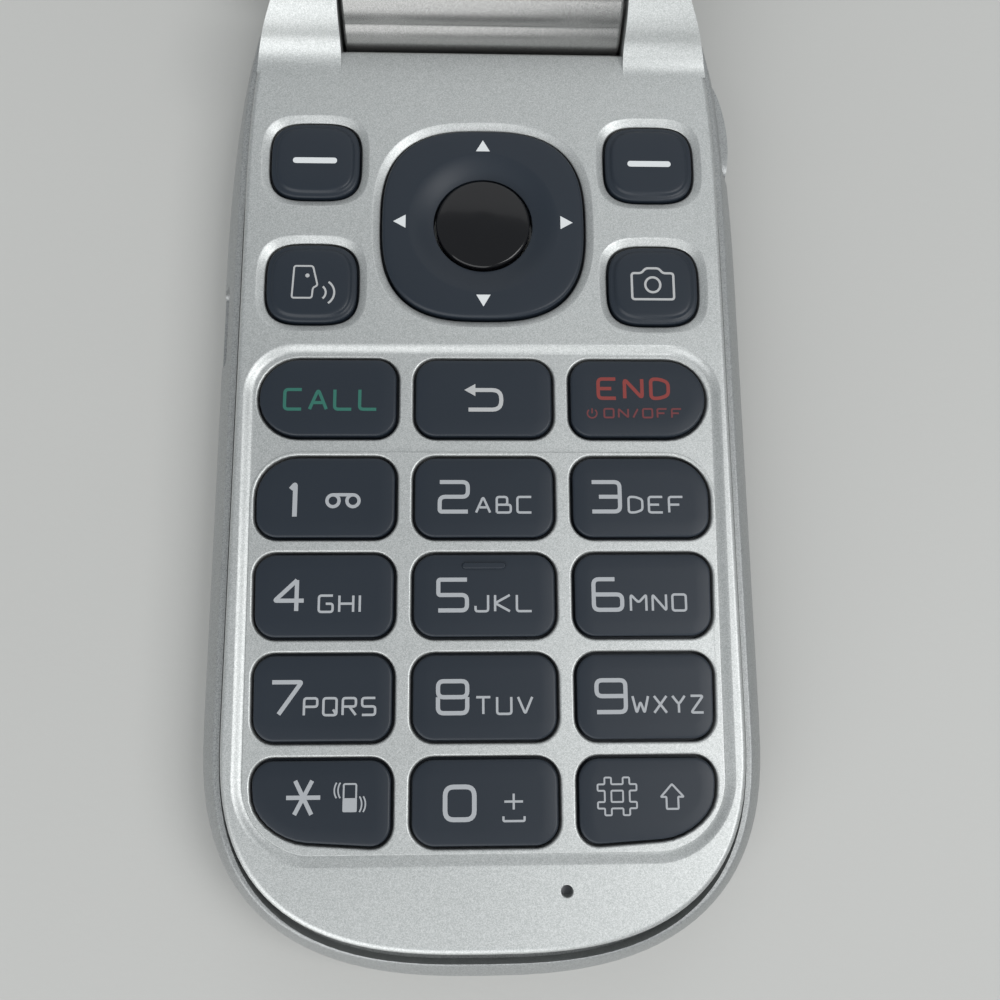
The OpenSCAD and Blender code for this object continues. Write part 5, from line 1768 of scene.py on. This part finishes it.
    def inner(self) -> None:
        """Makes the inner housing with the hinge barrel."""
        s = self.sizes
        shell = self.form().meet(Solid.block(ALL, ALL, (-FAR, self.belt)))
        self.relief(shell)
        inset = self.edge_in + self.wall
        tray = s.plan(self.half_w - inset, self.end_y - inset, s.belt_n, 2, self.root_y - 3.4)
        shell.cut(Solid.prism(tray, self.low + 1.2, 30))
        neck = Solid.block((-s.barrel_x, s.barrel_x), (self.root_y - 4, s.hinge_y), (self.low, self.belt))
        shell.join(neck, self.barrel(), self.screw_tool(self.boss_r, self.low + 0.4, self.belt))
        face = self.low - 0.01
        window = ((0, 0.4), (face, 0.4), (self.low + 0.25, 0.15), (30, 0.15))
        sound = ((0, 0.3), (face, 0.3), (self.low + 0.3, 0), (30, 0))
        shell.cut(Solid.block(ALL, (-FAR, self.root_y - 3.99), (-FAR, self.low)),
                  Solid.rod(s.bore_r, -40, 40, s.hinge_y, s.hinge_z),
                  Solid.grown(self.main_window, window),
                  self.screw_tool(self.screw_r, 0, 30), self.screw_tool(self.head_r, 0, self.low + 1.1),
                  Solid.grown(small_circle, ((0, 1.5), (self.low + 0.4, 1.5)), *self.bumpers),
                  Solid.grown(lambda g: rounded(*self.sound_slot, grow=g), sound, (0, self.sound_y)))
        shell.swing_open(s).piece("lid_face", "lid", Slot.GREY, [SATIN], ["lid_inner_housing"])

    def barrel(self) -> Solid:
        """Barrel with soft ends and the shallow crease that the open lid shows.

        Returns:
            The barrel.
        """
        s, soft = self.sizes, 0.35
        half = [(x, self.creased(s.barrel_r + g)) for x, g in rounding(s.barrel_x, 0, soft)]
        return Solid.along_x([(-x, c) for x, c in half[::-1]] + half, s.hinge_y, s.hinge_z)

    def creased(self, radius: float) -> Outline:
        """Barrel's round section, drawn in towards its crease.

        Args:
            radius: The barrel's radius.

        Returns:
            The section's points.
        """
        middle, reach = 155.8 + self.sizes.open_angle, 26.0
        section = []
        for i in range(180):
            away = abs((2 * i - middle + 180) % 360 - 180)
            r = radius - self.crease * max(0.0, 1 - away / reach) ** 1.1
            section.append((r * math.cos(math.radians(2 * i)), r * math.sin(math.radians(2 * i))))
        return section

    def small_parts(self) -> None:
        """Makes the windows, bumpers and screw caps."""
        s = self.sizes
        low, high = self.low + 0.1, self.top - 0.1
        rim = ((0, -0.15), (0.05, -0.05), (0.15, 0), (1, 0))
        glass = Solid.grown(self.main_window, [(low + z, g) for z, g in rim]).swing_open(s)
        glass.piece("display_glass", "lid", Slot.WINDOW, [GLASS], ["display_window"])
        rim = ((self.top - 1.15, 0), (high - 0.15, 0), (high - 0.05, -0.05), (high, -0.15))
        glass = Solid.grown(self.sub_window, rim).swing_open(s)
        glass.piece("outer_glass", "lid", Slot.WINDOW, [GLASS], ["sub_display_window"])
        rim = ((1, 4), (0.2, 4), (0.05, 3.9), (0, 3.7), (0, 2.2), (0.08, 2.0), (0.08, 0.4))
        lens = Solid.grown(circle, [(high - z, r) for z, r in rim]).shift(0, self.lens_y, 0).swing_open(s)
        lens.piece("camera_glass", "lid", Slot.WINDOW, [GLASS], ["camera_window"])
        rim = ((10.7, 0.9), (10.74, 1.2), (10.85, 1.4), (11.0, 1.48), (11.55, 1.48))
        pads = Solid.grown(small_circle, rim, *self.bumpers).meet(self.form(self.low - s.deck_z - 1.0))
        pads.swing_open(s).piece("bumper_pads", "lid", Slot.RUBBER, [RUBBER], ["lid_bumpers"])
        z = self.low + 0.02
        rim = ((z, 1.45), (z + 0.05, 1.6), (z + 0.12, 1.67), (z + 0.35, 1.67))
        caps = Solid.grown(small_circle, rim, *self.screws).swing_open(s)
        caps.piece("screw_caps", "lid", Slot.RUBBER, [RUBBER], ["lid_screw_caps"])

    def build(self) -> None:
        """Makes the lid's own pieces."""
        self.outer()
        self.inner()
        self.small_parts()


@dataclass
class Inside:
    """CAD nodes that stay as they are and only get a finish."""

    nodes: dict[str, tuple[Slot, Finish]] = field(default_factory=lambda: CARRIED)

    def build(self) -> None:
        """Dresses the carried nodes."""
        for name, (slot, finish) in self.nodes.items():
            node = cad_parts[name]
            node.data.materials.clear()
            node.data.materials.append(finish.material())
            LOG.info("%s carried with %s", name, finish.name)


# ---- Studio ----


@dataclass
class Studio:
    """Floor, lights, world and the camera at the photograph's viewing angle."""

    eye: Triple = (-1.562, -25.726, 99.709)
    right: Triple = (0.999456, -0.006762, 0.032295)
    down: Triple = (-0.000249, -0.980296, -0.197532)
    ahead: Triple = (0.032994, 0.197417, -0.979764)

    def build(self) -> None:
        """Makes the studio."""
        self.floor()
        self.world()
        self.lamp("Low lamp", (-0.4, -0.87, 0.5), (0.0, 0.0, 0.0), 1.3, 11.5)
        self.lamp("Back lamp", (0.1, 1.0, 0.8), (0.0, 0.0, 0.0), 1.0, 2.0)
        self.lamp("Side lamp", (0.55, -0.1, 0.9), (0.0, 0.0, 0.0), 0.5, 4.8)
        self.camera()

    def floor(self) -> None:
        """Plain pale floor."""
        ground = Solid()
        bmesh.ops.create_circle(ground.mesh, cap_ends=True, segments=128, radius=3.0)
        data = ground.data("floor")
        ground.mesh.free()
        data.materials.append(Finish("Pale table", (0.465, 0.465, 0.45), rough=0.6, tint=0.03, cloud=14,
                                     grain=1500, grain_depth=0.01).material())
        floor = placed("floor", data)

    def world(self) -> None:
        """Even pale surroundings."""
        world = bpy.data.worlds.new("Surroundings")
        bpy.context.scene.world = world
        world.use_nodes = True
        back = world.node_tree.nodes["Background"]
        fill(back, {"Color": (0.92, 0.97, 1.0, 1), "Strength": 0.42})

    def lamp(self, name: str, place: Triple, target: Triple,
             size: float, power: float) -> None:
        """Adds a square soft lamp.

        Args:
            name: The lamp's name.
            place: Where it hangs, in metres.
            target: What it faces.
            size: Length of its side.
            power: Power in watts.
        """
        data = bpy.data.lights.new(name, "AREA")
        data.shape, data.size, data.energy = "SQUARE", size, power
        lamp = placed(name, data)
        lamp.location = place
        lamp.rotation_euler = (Vector(target) - Vector(place)).to_track_quat("-Z", "Y").to_euler()

    def camera(self) -> None:
        """Camera with a lens as long as its sensor is wide."""
        data = bpy.data.cameras.new("Camera")
        data.lens = data.sensor_width = 36.0
        data.clip_start, data.clip_end = 0.005, 10.0
        camera = placed("Camera", data)
        columns = Matrix((self.right, [-c for c in self.down], [-c for c in self.ahead])).transposed()
        camera.matrix_world = Matrix.Translation(Vector(self.eye) * MM) @ columns.to_4x4()
        bpy.context.scene.camera = camera
        bpy.context.scene.view_settings.view_transform = "Standard"


def main() -> None:
    """Builds every sub-assembly in order."""
    sizes = Sizes()
    for part in (Deck(sizes), Shells(sizes), SideParts(sizes), Keypad(sizes), Lid(sizes), Inside(), Studio()):
        LOG.info("building %s", type(part).__name__)
        part.build()


if __name__ == "__main__":
    main()
